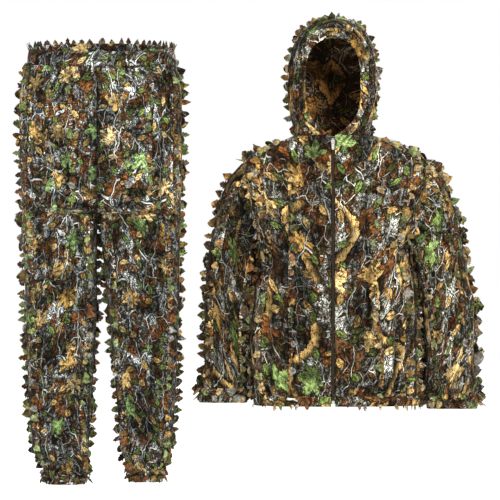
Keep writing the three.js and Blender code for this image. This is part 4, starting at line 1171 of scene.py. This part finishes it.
def stitched(profile_height, band_height):
    """Grooves where two rows of stitching pull a band in."""
    lines = (3.5, band_height - 3.0)
    return sum(-0.9 * bell(profile_height - line, 1.1) for line in lines)


def band_sheet(ring, columns, band_height, seed, gather=1.4, cell=9.0):
    """ring(angle, height, depth) gives the place of a band; gather is the depth of its ripples."""
    profile = band_profile(band_height)
    angle = np.linspace(0, TURN, columns, endpoint=False)[None, :]
    height = profile[:, 1][:, None] + 0 * angle
    depth = profile[:, 0][:, None] + 0 * angle
    points = ring(angle + 0 * height, height, depth)
    core = ring(angle + 0 * height, height * 0 + band_height / 2, 0 * depth + CASING / 2)
    sheet = Sheet(points, core, closed=True)
    ripple = lumps(points, seed, [(gather, cell, 0, (1, 1, 0.22)), (0.5 * gather, 2.1 * cell, 1, EVEN)])
    outside = (profile[:, 0] < CASING / 2)[:, None]
    sheet.push(ripple * np.where(outside, 1.0, 0.35) + stitched(height, band_height) * outside)
    return sheet


def ends_closed(sheet):
    """The faces of a band whose cross-section closes on itself."""
    rows, columns = sheet.points.shape[:2]
    quads = [list(map(int, quad)) for quad in sheet.faces()]
    last_row = (rows - 1) * columns
    down_first = abs(quads[0][1] - quads[0][0]) == columns
    for c in range(columns if sheet.closed else columns - 1):
        n = (c + 1) % columns
        quad = [last_row + c, c, n, last_row + n]
        quads.append(quad if down_first else quad[::-1])
    if not sheet.closed:
        quads.append([r * columns for r in range(rows)])
        quads.append([r * columns + columns - 1 for r in range(rows)][::-1])
    return quads


def band_piece(name, sheet, material, offset):
    obj = mesh_object(name, sheet.points.reshape(-1, 3), ends_closed(sheet), sheet_attributes(sheet, offset))
    obj.data.materials.append(material)
    tidy_normals(obj)
    return obj


def tidy_normals(obj):
    bpy.context.view_layer.objects.active = obj
    obj.select_set(True)
    bpy.ops.object.mode_set(mode="EDIT")
    bpy.ops.mesh.select_all(action="SELECT")
    bpy.ops.mesh.normals_make_consistent(inside=False)
    bpy.ops.object.mode_set(mode="OBJECT")
    obj.select_set(False)


def cuff_ring(name):
    sign, sleeve = JACKET[name]["sign"], SLEEVES[name]
    top = sleeve["cuff"] - CUFF_BAND

    def ring(angle, height, depth):
        drop = top + height
        values = np.array([sleeve["outer_cuff"] + 0 * angle, drop, sleeve["inner_cuff"] + 0 * angle, drop,
                           SLEEVE_DEPTH[-1] + 0 * angle])
        return sleeve_ring(sign, values, angle, depth)

    return ring


def hem_ring(angle, height, depth):
    """Round the hem from the right front edge over the back to the left front edge."""
    share = angle / TURN * 2 - 1  # -1 right front edge, 0 centre back, 1 left front edge
    z = -(JACKET_LENGTH - HEM_BAND) - height
    result = np.zeros((*angle.shape, 3))
    for name, half in (("right", share < 0), ("left", share >= 0)):
        shape = JACKET[name]
        sign = shape["sign"]
        level = np.clip(z, -JACKET_LENGTH, 0)
        start = turn_at(shape, level, ZIP_HALF_GAP)
        along = np.abs(share)
        front_share = np.clip((along - 0.5) * 2, 0, 1)
        back_share = np.clip(along * 2, 0, 1)
        front = jacket_points(shape, True, lerp(QUARTER, start, front_share), level)
        back = jacket_points(shape, False, back_share * QUARTER, level)
        points = np.where((along > 0.5)[..., None], front, back)
        middle = np.stack([0 * z, 0 * z, level], axis=-1)
        outward = points - middle
        outward[..., 2] = 0
        points = points - unit(outward) * depth[..., None]
        points[..., 2] = z
        edge = along > 0.995
        points[..., 0] = np.where(edge, sign * ZIP_HALF_GAP, points[..., 0])
        result[half] = points[half]
    return result


def hem_sheet():
    profile = band_profile(HEM_BAND, HEM_WALL)
    angle = np.linspace(0, TURN, 190)[None, :]
    height = profile[:, 1][:, None] * 0.985 + 0 * angle
    depth = profile[:, 0][:, None] + 0 * angle
    points = hem_ring(angle + 0 * height, height, depth)
    core = hem_ring(angle + 0 * height, 0 * height + HEM_BAND / 2, 0 * depth + HEM_WALL / 2)
    sheet = Sheet(points, core)
    outside = (profile[:, 0] < HEM_WALL / 2)[:, None]
    ripple = lumps(points, 61, [(0.9, 26, 0, EVEN), (0.5, 12, 1, EVEN)])
    sheet.push((ripple + stitched(height, HEM_BAND)) * np.where(outside, 1.0, 0.3) * sheet.fade(20, 20))
    return sheet


# ---------------------------------------------------------------- hood
# station, half width at its widest and at the neck, height of the crown and of the widest line,
# and how far back the neck, the widest line and the crown lie; 0 is the face opening and 6 the back seam
hood_table = curve_table([
    [0, 72, 8, 243, 142, -108, -92, -96],
    [1, 90, 24.2, 267, 142, -107, -78, -84],
    [2, 107, 62, 288, 138, -92, -42, -48],
    [3, 111, 92, 292, 135, -30, 4, 2],
    [4, 93, 82, 284, 130, 34, 66, 52],
    [5, 50, 48, 258, 125, 68, 104, 90],
    [6, 2.2, 2.2, 220, 120, 78, 112, 104],
])
HOOD_CORE = (0, 0, 130)
HOOD_SEEDS = {-1: 71, 1: 81}
HOOD_FOLDS = [(3.0, 80, 0, EVEN), (1.8, 30, 1, EVEN), (0.7, 12, 2, EVEN)]
BINDING_SEAM = 1.03  # station where the hood's cloth meets the face binding
HOOD_ROLL, HOOD_VALLEY = 1.35, 1.62  # stations of the thick roll round the face and of the valley behind it
FACE_BINDING = 18
FACE_MIDDLE = 142.0  # height of the middle of the face opening
HOOD_LAP = 0.9  # how far the two hood panels pass each other at their seam


def hood_points(sign, station, share):
    """Share 0 is the neck seam, 0.5 the widest line and 1 the crown seam."""
    wide, neck, crown, middle, neck_y, wide_y, crown_y = hood_table(station)
    flare = lerp(4, 2.4, np.clip(station, 0, 2) / 2)
    down = np.clip(1 - share * 2, 0, 1)
    low_x = neck + (wide - neck) * (1 - down ** flare)
    low_y = lerp(wide_y, neck_y, down ** 1.6)
    low_z = lerp(middle, SEAM / 2, down)
    climb = np.clip(share - 0.5, 0, 0.5) * math.pi
    rise = rounded(np.sin(climb))
    gap = -HOOD_LAP
    high_x = gap + (wide - gap) * rounded(np.cos(climb))
    high_y = lerp(wide_y, crown_y, rise ** 1.5)
    high_z = lerp(middle, crown, rise)
    upper = share >= 0.5
    x = np.where(upper, high_x, low_x)
    x = np.where(station > 5.999, gap, x)
    return np.stack([sign * x, np.where(upper, high_y, low_y), np.where(upper, high_z, low_z)], axis=-1)


def hood_print(points):
    """Lays the print round the hood from the centre front to the back without stretching it."""
    around = np.abs(points[..., 0]) + points[..., 1]
    return np.stack([around, points[..., 2] + 0.4 * points[..., 1]], axis=-1)


def hood_sheet(sign):
    share = np.concatenate([np.linspace(1, 0.56, 30), np.linspace(0.55, 0, 34)])[:, None]
    station = np.concatenate([np.linspace(BINDING_SEAM, 4, 42), np.linspace(4.08, 6, 24)])[None, :]
    points = hood_points(sign, station + 0 * share, share + 0 * station)
    sheet = Sheet(points, np.array(HOOD_CORE, float))
    sheet.print = hood_print(points)
    amount = lumps(points, HOOD_SEEDS[sign], HOOD_FOLDS)
    s = station + 0 * share
    amount += 3.2 * bell(s - HOOD_ROLL, 0.16) - 3.0 * bell(s - HOOD_VALLEY, 0.09)
    sheet.push(np.clip(amount, -7, 6) * sheet.fade(5, 12, 10, 12))
    # painted shade in the seam to the face binding and in the valley behind the roll
    sheet.darken(0.85 * bell(s - BINDING_SEAM, 0.05) + 0.6 * bell(s - HOOD_VALLEY, 0.07))
    sheet.darken(0.30)
    return sheet


def binding_sheet():
    """The folded binding round the face opening, from chin to chin."""
    profile = band_profile(FACE_BINDING, CASING, 8)
    half = np.linspace(0, 1, 64)
    share = np.concatenate([half, half[::-1][1:]])[None, :]
    sign = np.concatenate([np.full(64, -1.0), np.full(63, 1.0)])[None, :]
    reach = profile[:, 1][:, None] / FACE_BINDING + 0 * share
    depth = profile[:, 0][:, None] + 0 * share
    share = share + 0 * reach
    sign = sign + 0 * reach
    edge = hood_points(1, 0 * share, share)
    seam_line = hood_points(1, 0 * share + 1, share)
    base = edge + (seam_line - edge) * (1 - reach)[..., None]
    step = 0.01
    lower = hood_points(1, 0 * share + 0.5, np.clip(share - step, 0, 1))
    upper = hood_points(1, 0 * share + 0.5, np.clip(share + step, 0, 1))
    normal = unit(np.cross(upper - lower, seam_line - edge))
    outward = base - np.array([0, 0, FACE_MIDDLE])
    normal = np.where(np.sum(normal * outward, axis=-1, keepdims=True) < 0, -normal, normal)
    points = base - normal * depth[..., None]
    points[..., 0] = np.maximum(points[..., 0], 0) * sign
    core = (base - normal * CASING / 2) * np.stack([sign, 0 * sign + 1, 0 * sign + 1], axis=-1)
    sheet = Sheet(points, core)
    sheet.print = np.stack([points[..., 0], points[..., 2] + 0.6 * points[..., 1]], axis=-1)
    outside = (profile[:, 0] < CASING / 2)[:, None]
    ripple = lumps(points, 91, [(1.0, 10, 0, EVEN), (0.8, 24, 1, EVEN)])
    groove = -1.2 * bell(profile[:, 1][:, None] - 4, 1.6)
    sheet.push((ripple + groove) * np.where(outside, 1.0, 0.3) * sheet.fade(8, 8))
    return sheet


# ---------------------------------------------------------------- trousers
TROUSERS_X = -585
WAIST_HEIGHT = 218
WAIST_BAND = 34
CROTCH = 196
ANKLE_BAND = 24
RISE_CURVE = 110
WAIST_DEPTH = 104
WAIST_GATHER = 6  # how much the waist band draws each side in, from its seam to its rim
ANKLE_DEPTH = 47
FRONT_SAG, BACK_RISE = 14, 17
# half widths of the hips, inner and outer edges of each leg and its length, then its seeds
LEGS = {
    "right": {"sign": -1, "waist": 171, "hip": 195, "thigh": (3, 190), "knee": (3, 182), "calf": (18, 174),
              "shin": (24, 160), "ankle": (32, 131), "drop": 868,
              "seeds": {"hip_folds": 101, "hip_leaves": 301, "folds": 141, "leaves": 331, "painted_shade_leaves": 351,
                        "ankle": 351, "fringe": 355}},
    "left": {"sign": 1, "waist": 188, "hip": 209, "thigh": (4, 206), "knee": (25, 202), "calf": (46, 192),
             "shin": (58, 182), "ankle": (80, 162), "drop": 862,
             "seeds": {"hip_folds": 121, "hip_leaves": 311, "folds": 161, "leaves": 341, "painted_shade_leaves": 361,
                       "ankle": 353, "fringe": 356}},
}
BACK_SEED_STEP = 10  # the back of a leg or hip takes seeds this far from its front
HIP_FOLDS = [(3.6, 110, 0, (1, 1, 0.6)), (2.6, 38, 1, (1, 1, 0.5)), (0.9, 12, 2, EVEN)]
LEG_FOLDS = [(3.4, 100, 0, (1, 1, 0.6)), (2.4, 36, 1, (1, 1, 0.5)), (0.9, 12, 2, EVEN)]
HIP_CREASES = [((8, -150), (110, -60), 9, 6), ((14, -185), (130, -140), 9, 6)]
LEG_LIMITS = (-9, 9)
KNEE = -430
leg_depth = curve_table([
    [-868, ANKLE_DEPTH], [-830, ANKLE_DEPTH + 4], [-785, 64], [-660, 72], [-410, 84], [-CROTCH, 97],
    [15, 116], [100, 116], [WAIST_HEIGHT - WAIST_BAND, WAIST_DEPTH], [WAIST_HEIGHT, WAIST_DEPTH],
])
for leg in LEGS.values():
    inner, outer = leg["ankle"]
    leg["edges"] = curve_table([
        [-leg["drop"], inner, outer], [-leg["drop"] + 38, inner - 4, outer + 4], [-785, *leg["shin"]],
        [-660, *leg["calf"]], [-410, *leg["knee"]], [-CROTCH, *leg["thigh"]], [15, 0, leg["hip"]],
        [100, 0, leg["hip"]], [WAIST_HEIGHT - WAIST_BAND, 0, leg["waist"] + WAIST_GATHER],
        [WAIST_HEIGHT, 0, leg["waist"]],
    ])


def leg_section(leg, z):
    inner, outer = leg["edges"](z)
    turned = np.clip((-CROTCH + RISE_CURVE - z) / RISE_CURVE, 0, 1) ** 2
    centre = (inner + outer) / 2 * turned
    return centre, outer - centre, inner


def inner_angle(leg, z):
    centre, half, inner = leg_section(leg, z)
    reach = (centre - np.maximum(inner, SEAM / 2)) / half
    return np.where(reach >= 1, math.pi, QUARTER + np.arcsin(np.clip(reach, 0, 1) ** (ROUNDNESS / 2)))


def leg_points(leg, front, angle, z):
    centre, half, _ = leg_section(leg, z)
    x = np.maximum(SEAM / 2, centre + half * rounded(np.cos(angle)))
    y = np.maximum(SEAM / 2, leg_depth(z)[0] * rounded(np.maximum(np.sin(angle), 0)))
    return np.stack([TROUSERS_X + leg["sign"] * x, -y if front else y, z + 0 * x], axis=-1)


def rim_height(sine):
    share = np.abs(rounded(sine)) ** 1.5
    return WAIST_HEIGHT + np.where(sine < 0, -FRONT_SAG, BACK_RISE) * share


POCKET_ANGLE = 0.56
POCKET_RADIUS = 170  # width of cloth for each radian at the pocket
POCKET_TOP = 160
POCKET_LENGTH = 112
POCKET_BOTTOM = POCKET_TOP - POCKET_LENGTH
STRIP_SHADE = 26.0  # distance from the side seam of the shade beside its leaf strip
HIP_ENDS = {}  # print height of each column at the lower edge of the hips, where the legs go on
SEAM_CLOSED = -110.0  # height whose section gives the centre seam
SEAM_OPENS = -168.0  # the centre seam is closed above this height


def hip_sheet(name, front):
    leg = LEGS[name]
    low = -CROTCH - SEAM
    share = np.linspace(0, 1, 78)[:, None]
    part = np.linspace(0, 1, 46)[None, :]
    guess = lerp(WAIST_HEIGHT - WAIST_BAND, low, share)
    held = np.where(guess < SEAM_OPENS, lerp(SEAM_CLOSED, guess, smooth(SEAM_OPENS - guess, 0, 26)), SEAM_CLOSED)
    angle = inner_angle(leg, np.maximum(guess, held)) * part
    top = rim_height(-np.sin(angle) if front else np.sin(angle)) - WAIST_BAND - SEAM
    z = lerp(top, low, share)
    points = leg_points(leg, front, angle, z)
    closing = (points[:, -1:, 0] - TROUSERS_X - leg["sign"] * SEAM / 2) * smooth(part, 0.6, 1.0)
    points[..., 0] -= closing * np.where(z > low + 4, 1.0, 0.4)
    core = np.stack([TROUSERS_X + 0 * z, 0 * z, z], axis=-1)
    sheet = Sheet(points, core)
    seed = leg["seeds"]["hip_folds"] + (0 if front else BACK_SEED_STEP)
    amount = sum(creases(points, leg["sign"], HIP_CREASES, TROUSERS_X), lumps(points, seed, HIP_FOLDS))
    pleat = np.exp(-sheet.down / 60) * 4.2 * noise(points, 15, seed + 3, (1, 1, 0.12))
    amount = np.clip(amount, *LEG_LIMITS) * sheet.fade(14, 12, 14, 34)
    calm = 1.0  # folds are held back round the pocket
    if name == "left" and front:
        around = np.abs(angle - POCKET_ANGLE) * POCKET_RADIUS
        near = (1 - smooth(around, 16, 34)) * smooth(z, POCKET_BOTTOM - 30, POCKET_BOTTOM - 8)
        calm = 1 - near * 0.85
        slit = bell(around, 3.2) * smooth(z, POCKET_BOTTOM - 4, POCKET_BOTTOM + 6)
        amount = amount * calm - 6.5 * slit * (1 - smooth(z, POCKET_TOP - 4, POCKET_TOP + 6))
    sheet.push(amount + pleat * sheet.fade(12, 12, 3, 0) * calm)
    # painted shade in the crease of the centre seam
    sheet.darken(0.7 * bell(sheet.across[:, -1:] - sheet.across, 3.5))
    sheet.darken(0.65 * bell(sheet.across - STRIP_SHADE, 6))
    HIP_ENDS[name, front] = sheet.print[-1, :, 1]
    return sheet


def leg_sheet(name, front):
    leg = LEGS[name]
    high, low = -CROTCH - SEAM / 2, -leg["drop"] + ANKLE_BAND + SEAM
    z = np.linspace(high, low, 128)[:, None]
    part = np.linspace(0, 1, 46)[None, :]
    points = leg_points(leg, front, math.pi * part + 0 * z, z + 0 * part)
    centre, _, _ = leg_section(leg, z)
    core = np.stack([TROUSERS_X + leg["sign"] * centre + 0 * part, 0 * (z + part), z + 0 * part], axis=-1)
    sheet = Sheet(points, core)
    seed = leg["seeds"]["folds"] + (0 if front else BACK_SEED_STEP)
    amount = lumps(points, seed, LEG_FOLDS)
    knee = bell(z - KNEE, 60)
    amount += knee * 4.0 * noise(points, 42, seed + 3, (0.6, 0.6, 2.0))
    stack = smooth(-z, 700, 800)
    amount += stack * (4.0 * noise(points, 44, seed + 4, (0.6, 0.6, 2.2)) + 2.0)
    gather = smooth(-z, 775, 838) * 3.0 * noise(points, 13, seed + 5, (1, 1, 0.2))
    amount = np.clip(amount, *LEG_LIMITS) * sheet.fade(14, 14, 34, 10)
    sheet.push(amount + gather * sheet.fade(8, 8, 0, 3))
    # painted shade on the inner side of the leg, between the legs
    sheet.darken(0.7 * bell(sheet.across[:, -1:] - sheet.across, 26))
    # the legs below the crotch darker: partly darker cloth, partly painted shade
    sheet.darken(0.34 * smooth(-z, CROTCH, CROTCH + 64))
    sheet.darken(0.65 * bell(sheet.across - STRIP_SHADE, 6))
    sheet.print = sheet.print + np.stack([0 * HIP_ENDS[name, front], HIP_ENDS[name, front]], axis=-1)
    return sheet


def waist_ring(angle, height, depth):
    low = WAIST_BAND - height  # the band is folded at its top
    z = rim_height(np.sin(angle)) - low
    waist = np.where(np.cos(angle) < 0, LEGS["right"]["waist"], LEGS["left"]["waist"])
    half = waist + WAIST_GATHER * low / WAIST_BAND - depth
    x = TROUSERS_X + half * rounded(np.cos(angle))
    return np.stack([x, (WAIST_DEPTH - depth) * rounded(np.sin(angle)), z], axis=-1)


def ankle_ring(name):
    leg = LEGS[name]
    inner, outer = leg["ankle"]

    def ring(angle, height, depth):
        x = (inner + outer) / 2 + ((outer - inner) / 2 - depth) * rounded(np.cos(angle))
        y = (ANKLE_DEPTH - depth) * rounded(np.sin(angle))
        z = -leg["drop"] + ANKLE_BAND - height
        return np.stack([TROUSERS_X + leg["sign"] * x, y, z + 0 * x], axis=-1)

    return ring


# ---------------------------------------------------------------- jacket and hood pieces
# columns of the leaf strips as shares of the width of the cloth, some with the side their leaves point to
FRONT_STRIPS = (0.34, 0.62, 0.86)
BACK_STRIPS = (0.10, 0.22, 0.35, 0.47, 0.60, 0.73, 0.85)
SLEEVE_STRIPS = ((0.16, 1), (0.34, -1), (0.64, 1), (0.84, -1))
HOOD_STRIPS = (0.62, 0.78, 0.92)
OUTER_SEAM, INNER_SEAM = 0.0, 0.5  # a sleeve's seams
SIDE_SEAM, LEG_INNER_SEAM = 0.0, 1.0  # a trouser panel's seams


def ride_body(obj, body, nodes):
    if nodes:
        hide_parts(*nodes)
    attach(obj, body)
    return obj


def cross_joint(obj, nodes):
    """Hides the given CAD parts and bakes the object's place into its mesh; it is not attached to any body."""
    if nodes:
        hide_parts(*nodes)
    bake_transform(obj)
    return obj


def band_leaves(leaves, ring, height, count, size):
    """Two staggered rows of leaves that fall over a gathered band."""
    r = leaves.random
    for row, start in enumerate((-9.0, height * 0.35)):
        angle = (np.arange(count) + 0.5 * row + r.uniform(-0.25, 0.25, count)) / count * TURN
        flat = 0 * angle
        base = ring(angle, flat + start, flat - 3.5)
        out = unit(base - ring(angle, flat + start, flat + 8.0))
        drop = r.uniform(0.5, 1.2, count)
        down = np.stack([r.uniform(-0.5, 0.5, count), r.uniform(-0.2, 0.2, count), -drop], axis=-1)
        leaves.add(base, unit(down), out, r.uniform(15, 23, count) * size, r.uniform(17, 25, count) * size,
                   r.uniform(0.05, 0.85, count), r.uniform(-0.7, 0.3, count), r.uniform(0, PRINT_SPREAD, (count, 2)))


def make_jacket():
    near_zip, middle, near_sleeve = FRONT_STRIPS
    for name, shape in JACKET.items():
        sheet = jacket_front(name)
        hand = shape["sign"]
        for column, side in ((near_zip, -hand), (middle, hand), (near_sleeve, -1), (near_sleeve, 1)):
            sheet.shade_beside(column, side)
        obj = cloth_piece(f"jacket_front_cloth_{name}", sheet, jacket_cloth, jacket_inside, shape["print"])
        ride_body(obj, "jacket", [f"jacket_front_{name}"])
        leaves = Leaves(shape["leaves"], BROWN_TINTS)
        leaf_row(leaves, sheet, near_zip, start=0.20, hands=(-hand,))
        leaf_row(leaves, sheet, middle, start=0.06, hands=(hand,))
        leaf_row(leaves, sheet, near_sleeve, start=0.12, stand=(0.4, 1.0))
        seam_row(leaves, sheet, 0.985, pitch=25, start=0.62, end=0.99)
        if name == "left":
            shoulder_strands(leaves, sheet)
        leaf = leaves.build(f"jacket_front_leaves_{name}", jacket_leaf)
        ride_body(leaf, "jacket", [f"leaf_strip_front_{name}"])
    sheet = jacket_back()
    obj = cloth_piece("jacket_back_cloth", sheet, jacket_cloth, jacket_inside, (2.2, 0.4))
    ride_body(obj, "jacket", ["jacket_back"])
    leaves = Leaves(211, BROWN_TINTS)
    for number, column in enumerate(BACK_STRIPS):
        leaf_row(leaves, sheet, column, start=0.06, hands=((1,), (-1,), (1, -1))[number % 3])
    leaf = leaves.build("jacket_back_leaves", jacket_leaf)
    ride_body(leaf, "jacket", ["leaf_strip_back"])
    hem = hem_sheet()
    obj = band_piece("jacket_hem_fold", hem, jacket_cloth, (3.1, 0.7))
    ride_body(obj, "jacket", ["jacket_hem_band"])
    loose_leaves()


def shoulder_strands(leaves, sheet):
    """Narrow strands that stand off the shoulder near the hood."""
    r = leaves.random
    column = 0.86 * (sheet.points.shape[1] - 1)
    drops = np.array([5.0, 8, 11, 15, 20, 26])
    row = np.interp(drops, -sheet.points[:, int(column), 2], np.arange(sheet.points.shape[0]))
    count = len(drops)
    base, normal, fall, printed = sheet.sample(row, column + r.uniform(-3, 3, count))
    ahead = unit(0.8 * fall + np.array([0.7, 0, -0.05]) + r.uniform(-0.1, 0.1, (count, 3)))
    leaves.add(base, ahead, normal, r.uniform(24, 36, count), r.uniform(5, 7, count), r.uniform(0.05, 0.25, count),
               r.uniform(-0.6, -0.1, count), printed, STRAND_OUTLINE)


def loose_leaves():
    """Tips that hang below the hem."""
    leaves = Leaves(215, BROWN_TINTS, 0.9)
    r = leaves.random
    angle = np.sort(r.uniform(0.03, 0.97, 24)) * TURN
    flat = 0 * angle
    base = hem_ring(angle, flat + HEM_BAND - 4, flat - 0.6)
    out = base - hem_ring(angle, flat + HEM_BAND - 4, flat + 5)
    down = np.stack([r.uniform(-0.3, 0.3, len(angle)), flat, flat - 1], axis=-1)
    leaves.add(base, unit(down), unit(out), r.uniform(12, 18, 24), r.uniform(10, 16, 24), r.uniform(-0.05, 0.2, 24),
               r.uniform(-0.3, 0.3, 24), r.uniform(0, PRINT_SPREAD, (24, 2)))
    leaf = leaves.build("jacket_loose_leaves", jacket_leaf)
    ride_body(leaf, "jacket", [])


def make_sleeve(name):
    shape, sleeve = JACKET[name], SLEEVES[name]
    sign, seeds = shape["sign"], sleeve["seeds"]
    body = f"{name}_sleeve"
    sheet = sleeve_sheet(name)
    for column, side in SLEEVE_STRIPS:
        sheet.shade_beside(column, side)
    obj = cloth_piece(f"sleeve_cloth_{name}", sheet, jacket_cloth, jacket_inside, (4.0 + sign * 0.7, 1.3))
    cross_joint(obj, [f"sleeve_{name}"])
    leaves = Leaves(seeds["leaves"], sleeve["tints"])
    for column, side in SLEEVE_STRIPS:
        leaf_row(leaves, sheet, column, start=0.05, hands=(side,))
    seam_row(leaves, sheet, OUTER_SEAM, pitch=24, start=sleeve["seam_start"], size=sleeve["seam_size"])
    seam_row(leaves, sheet, INNER_SEAM, pitch=28, start=0.35, size=0.8)
    # dense dark leaves that fill the gap between sleeve and body: their dark tint is painted shade
    dark = Leaves(seeds["painted_shade_leaves"], DARK_TINTS, 0.9)
    close = {"end": 0.97, "fore": (-0.5, 0.5), "hands": (1,), "ribbon": False}
    leaf_row(dark, sheet, INNER_SEAM, pitch=13, start=0.06, stand=(1.0, 1.55), size=0.95, **close)
    leaf_row(dark, sheet, INNER_SEAM - 0.03, pitch=15, start=0.08, stand=(0.9, 1.4), size=0.9, **close)
    inner_leaf = dark.build(f"sleeve_inner_leaves_{name}", jacket_leaf)
    cross_joint(inner_leaf, [])
    leaf = leaves.build(f"sleeve_leaves_{name}", jacket_leaf)
    cross_joint(leaf, [f"leaf_strip_sleeve_{name}"])
    cuff = band_sheet(cuff_ring(name), 110, CUFF_BAND, seeds["cuff"])
    obj = band_piece(f"cuff_fold_{name}", cuff, jacket_cloth, (5.0 + sign, 0.2))
    ride_body(obj, body, [f"cuff_casing_{name}", f"cuff_elastic_{name}"])
    fringe = Leaves(seeds["fringe"], BROWN_TINTS)
    band_leaves(fringe, cuff_ring(name), CUFF_BAND, 17, 1.0)
    ride_body(fringe.build(f"cuff_leaves_{name}", jacket_leaf), body, [])


def make_hood():
    for sign, name in ((-1, "right"), (1, "left")):
        sheet = hood_sheet(sign)
        obj = cloth_piece(f"hood_cloth_{name}", sheet, jacket_cloth, jacket_inside, (6.0 + sign * 0.6, 2.2))
        cross_joint(obj, [f"hood_panel_{name}"])
        leaves = Leaves(241 if sign < 0 else 242, BROWN_TINTS if sign < 0 else GREEN_TINTS)
        for column in HOOD_STRIPS:
            leaf_row(leaves, sheet, column, pitch=24, start=0.03, end=0.93)
        leaf_row(leaves, sheet, 0.24, pitch=24, start=0.05, end=0.9, stand=(0.1, 0.5), hands=(1,))
        seam_row(leaves, sheet, 0.44, pitch=22, end=0.93, size=0.85)
        leaf = leaves.build(f"hood_leaves_{name}", jacket_leaf)
        nodes = ["leaf_strip_hood"] if sign < 0 else []
        cross_joint(leaf, nodes)
    obj = band_piece("face_binding_fold", binding_sheet(), binding_cloth, (7.3, 0.5))
    cross_joint(obj, ["face_binding"])


# ---------------------------------------------------------------- trouser pieces
def print_start(name, front):
    """Where the print starts on a trouser panel: the leg goes on from the hip above it."""
    return (0.5 if front else 1.4) + (0.7 if name == "left" else 0.0), 3.0


def make_trousers():
    for name, leg in LEGS.items():
        first = leg["sign"]
        for front in (True, False):
            where = "front" if front else "back"
            sheet = hip_sheet(name, front)
            for column, side in ((0.30, 1), (0.60, -1)):
                sheet.shade_beside(column, side)
            place = print_start(name, front)
            obj = cloth_piece(f"hip_{where}_cloth_{name}", sheet, trouser_cloth, trouser_inside, place)
            ride_body(obj, "trousers", [f"hip_{where}_{name}"])
            leaves = Leaves(leg["seeds"]["hip_leaves"] + front, GREEN_TINTS if front else DARK_TINTS)
            strips = ((0.30, 0.99, first), (0.60 if front else 0.55, 0.99, -first), (0.84, 0.80, first))
            for column, strip_end, side in strips:
                leaf_row(leaves, sheet, column, start=0.04, end=strip_end, size=0.9, hands=(side,))
            if front:
                seam_row(leaves, sheet, SIDE_SEAM, pitch=22, end=0.99, size=0.95)
            leaf = leaves.build(f"hip_{where}_leaves_{name}", trouser_leaf)
            ride_body(leaf, "trousers", [f"leaf_strip_hip_{name}"] if front else [])
    waist = band_sheet(waist_ring, 260, WAIST_BAND, 321, gather=2.0, cell=11)
    obj = band_piece("waist_band_fold", waist, trouser_cloth, (2.0, 5.0))
    ride_body(obj, "trousers", ["waist_casing", "waist_elastic"])
    rim_leaves()


def rim_leaves():
    """Leaf tips that stand above the back of the waist rim."""
    leaves = Leaves(322, DARK_TINTS, 0.8)
    r = leaves.random
    angle = np.arange(-0.12, math.pi + 0.13, 0.105)
    count = len(angle)
    flat = np.zeros(count)
    base = waist_ring(angle, flat + WAIST_BAND - 5, flat - 1.0)
    out = unit(waist_ring(angle, flat + WAIST_BAND - 5, flat - 9.0) - base)
    out[:, 2] = 0
    up = np.stack([r.uniform(-0.25, 0.25, count), 0 * angle, 1 + 0 * angle], axis=-1)
    place = r.uniform(0, PRINT_SPREAD, (count, 2))
    leaves.add(base, unit(up), unit(out), r.uniform(16, 23, count), r.uniform(14, 20, count),
               r.uniform(-0.1, 0.35, count), r.uniform(-0.4, 0.4, count), place)
    leaf = leaves.build("waist_leaves", trouser_leaf)
    ride_body(leaf, "trousers", [])


def make_leg(name):
    leg = LEGS[name]
    seeds = leg["seeds"]
    body = f"{name}_leg"
    for front in (True, False):
        where = "front" if front else "back"
        sheet = leg_sheet(name, front)
        for column, side in ((0.27, 1), (0.74, -1)):
            sheet.shade_beside(column, side)
        obj = cloth_piece(f"leg_{where}_cloth_{name}", sheet, trouser_cloth, trouser_inside, print_start(name, front))
        cross_joint(obj, [f"leg_{where}_{name}"])
        leaves = Leaves(seeds["leaves"] + front, GREEN_TINTS if front else DARK_TINTS)
        for column, side in ((0.27, leg["sign"]), (0.74, -leg["sign"])):
            leaf_row(leaves, sheet, column, end=0.97, stand=(0.3, 0.9), size=0.9, hands=(side,))
        if not front:
            leaf_row(leaves, sheet, 0.5, end=0.97, size=0.9)
        nodes = []
        if front:
            seam_row(leaves, sheet, SIDE_SEAM, pitch=22, start=0.01, end=0.97, size=0.95)
            seam_row(leaves, sheet, LEG_INNER_SEAM, start=0.08, end=0.97, size=0.85)
            # dense dark leaves that fill the gap at the crotch: their dark tint is painted shade
            dark = Leaves(seeds["painted_shade_leaves"], DARK_TINTS, 0.9)
            seam_row(dark, sheet, LEG_INNER_SEAM, pitch=13, start=0.004, end=0.11, size=0.8)
            inner_leaf = dark.build(f"leg_inner_leaves_{name}", trouser_leaf)
            cross_joint(inner_leaf, [])
            nodes = [f"leaf_strip_leg_side_{name}", f"leaf_strip_leg_front_{name}"]
        leaf = leaves.build(f"leg_{where}_leaves_{name}", trouser_leaf)
        cross_joint(leaf, nodes)
    ankle = band_sheet(ankle_ring(name), 110, ANKLE_BAND, seeds["ankle"])
    obj = band_piece(f"ankle_fold_{name}", ankle, trouser_cloth, (6.0, 5.2))
    ride_body(obj, body, [f"ankle_casing_{name}", f"ankle_elastic_{name}"])
    fringe = Leaves(seeds["fringe"], DARK_TINTS)
    band_leaves(fringe, ankle_ring(name), ANKLE_BAND, 17, 0.95)
    ride_body(fringe.build(f"ankle_leaves_{name}", trouser_leaf), body, [])


# ---------------------------------------------------------------- zip and small parts
def paint(material, *names):
    for name in names:
        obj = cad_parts[name]
        obj.data.materials.clear()
        obj.data.materials.append(material)


def small_parts():
    paint(lining, "neck_tape", "hang_loop", "pocket_bag")
    paint(tape_cloth, "zip_tape_right", "zip_tape_left")
    paint(coil_finish, "zip_coil_right", "zip_coil_left")
    paint(metal, "zip_top_stop_right", "zip_top_stop_left", "zip_bottom_box", "zip_slider", "zip_pull")
    paint(welt_cloth, "pocket_welt")


make_jacket()
for side_name in ("right", "left"):
    make_sleeve(side_name)
make_hood()
make_trousers()
for side_name in ("right", "left"):
    make_leg(side_name)
small_parts()
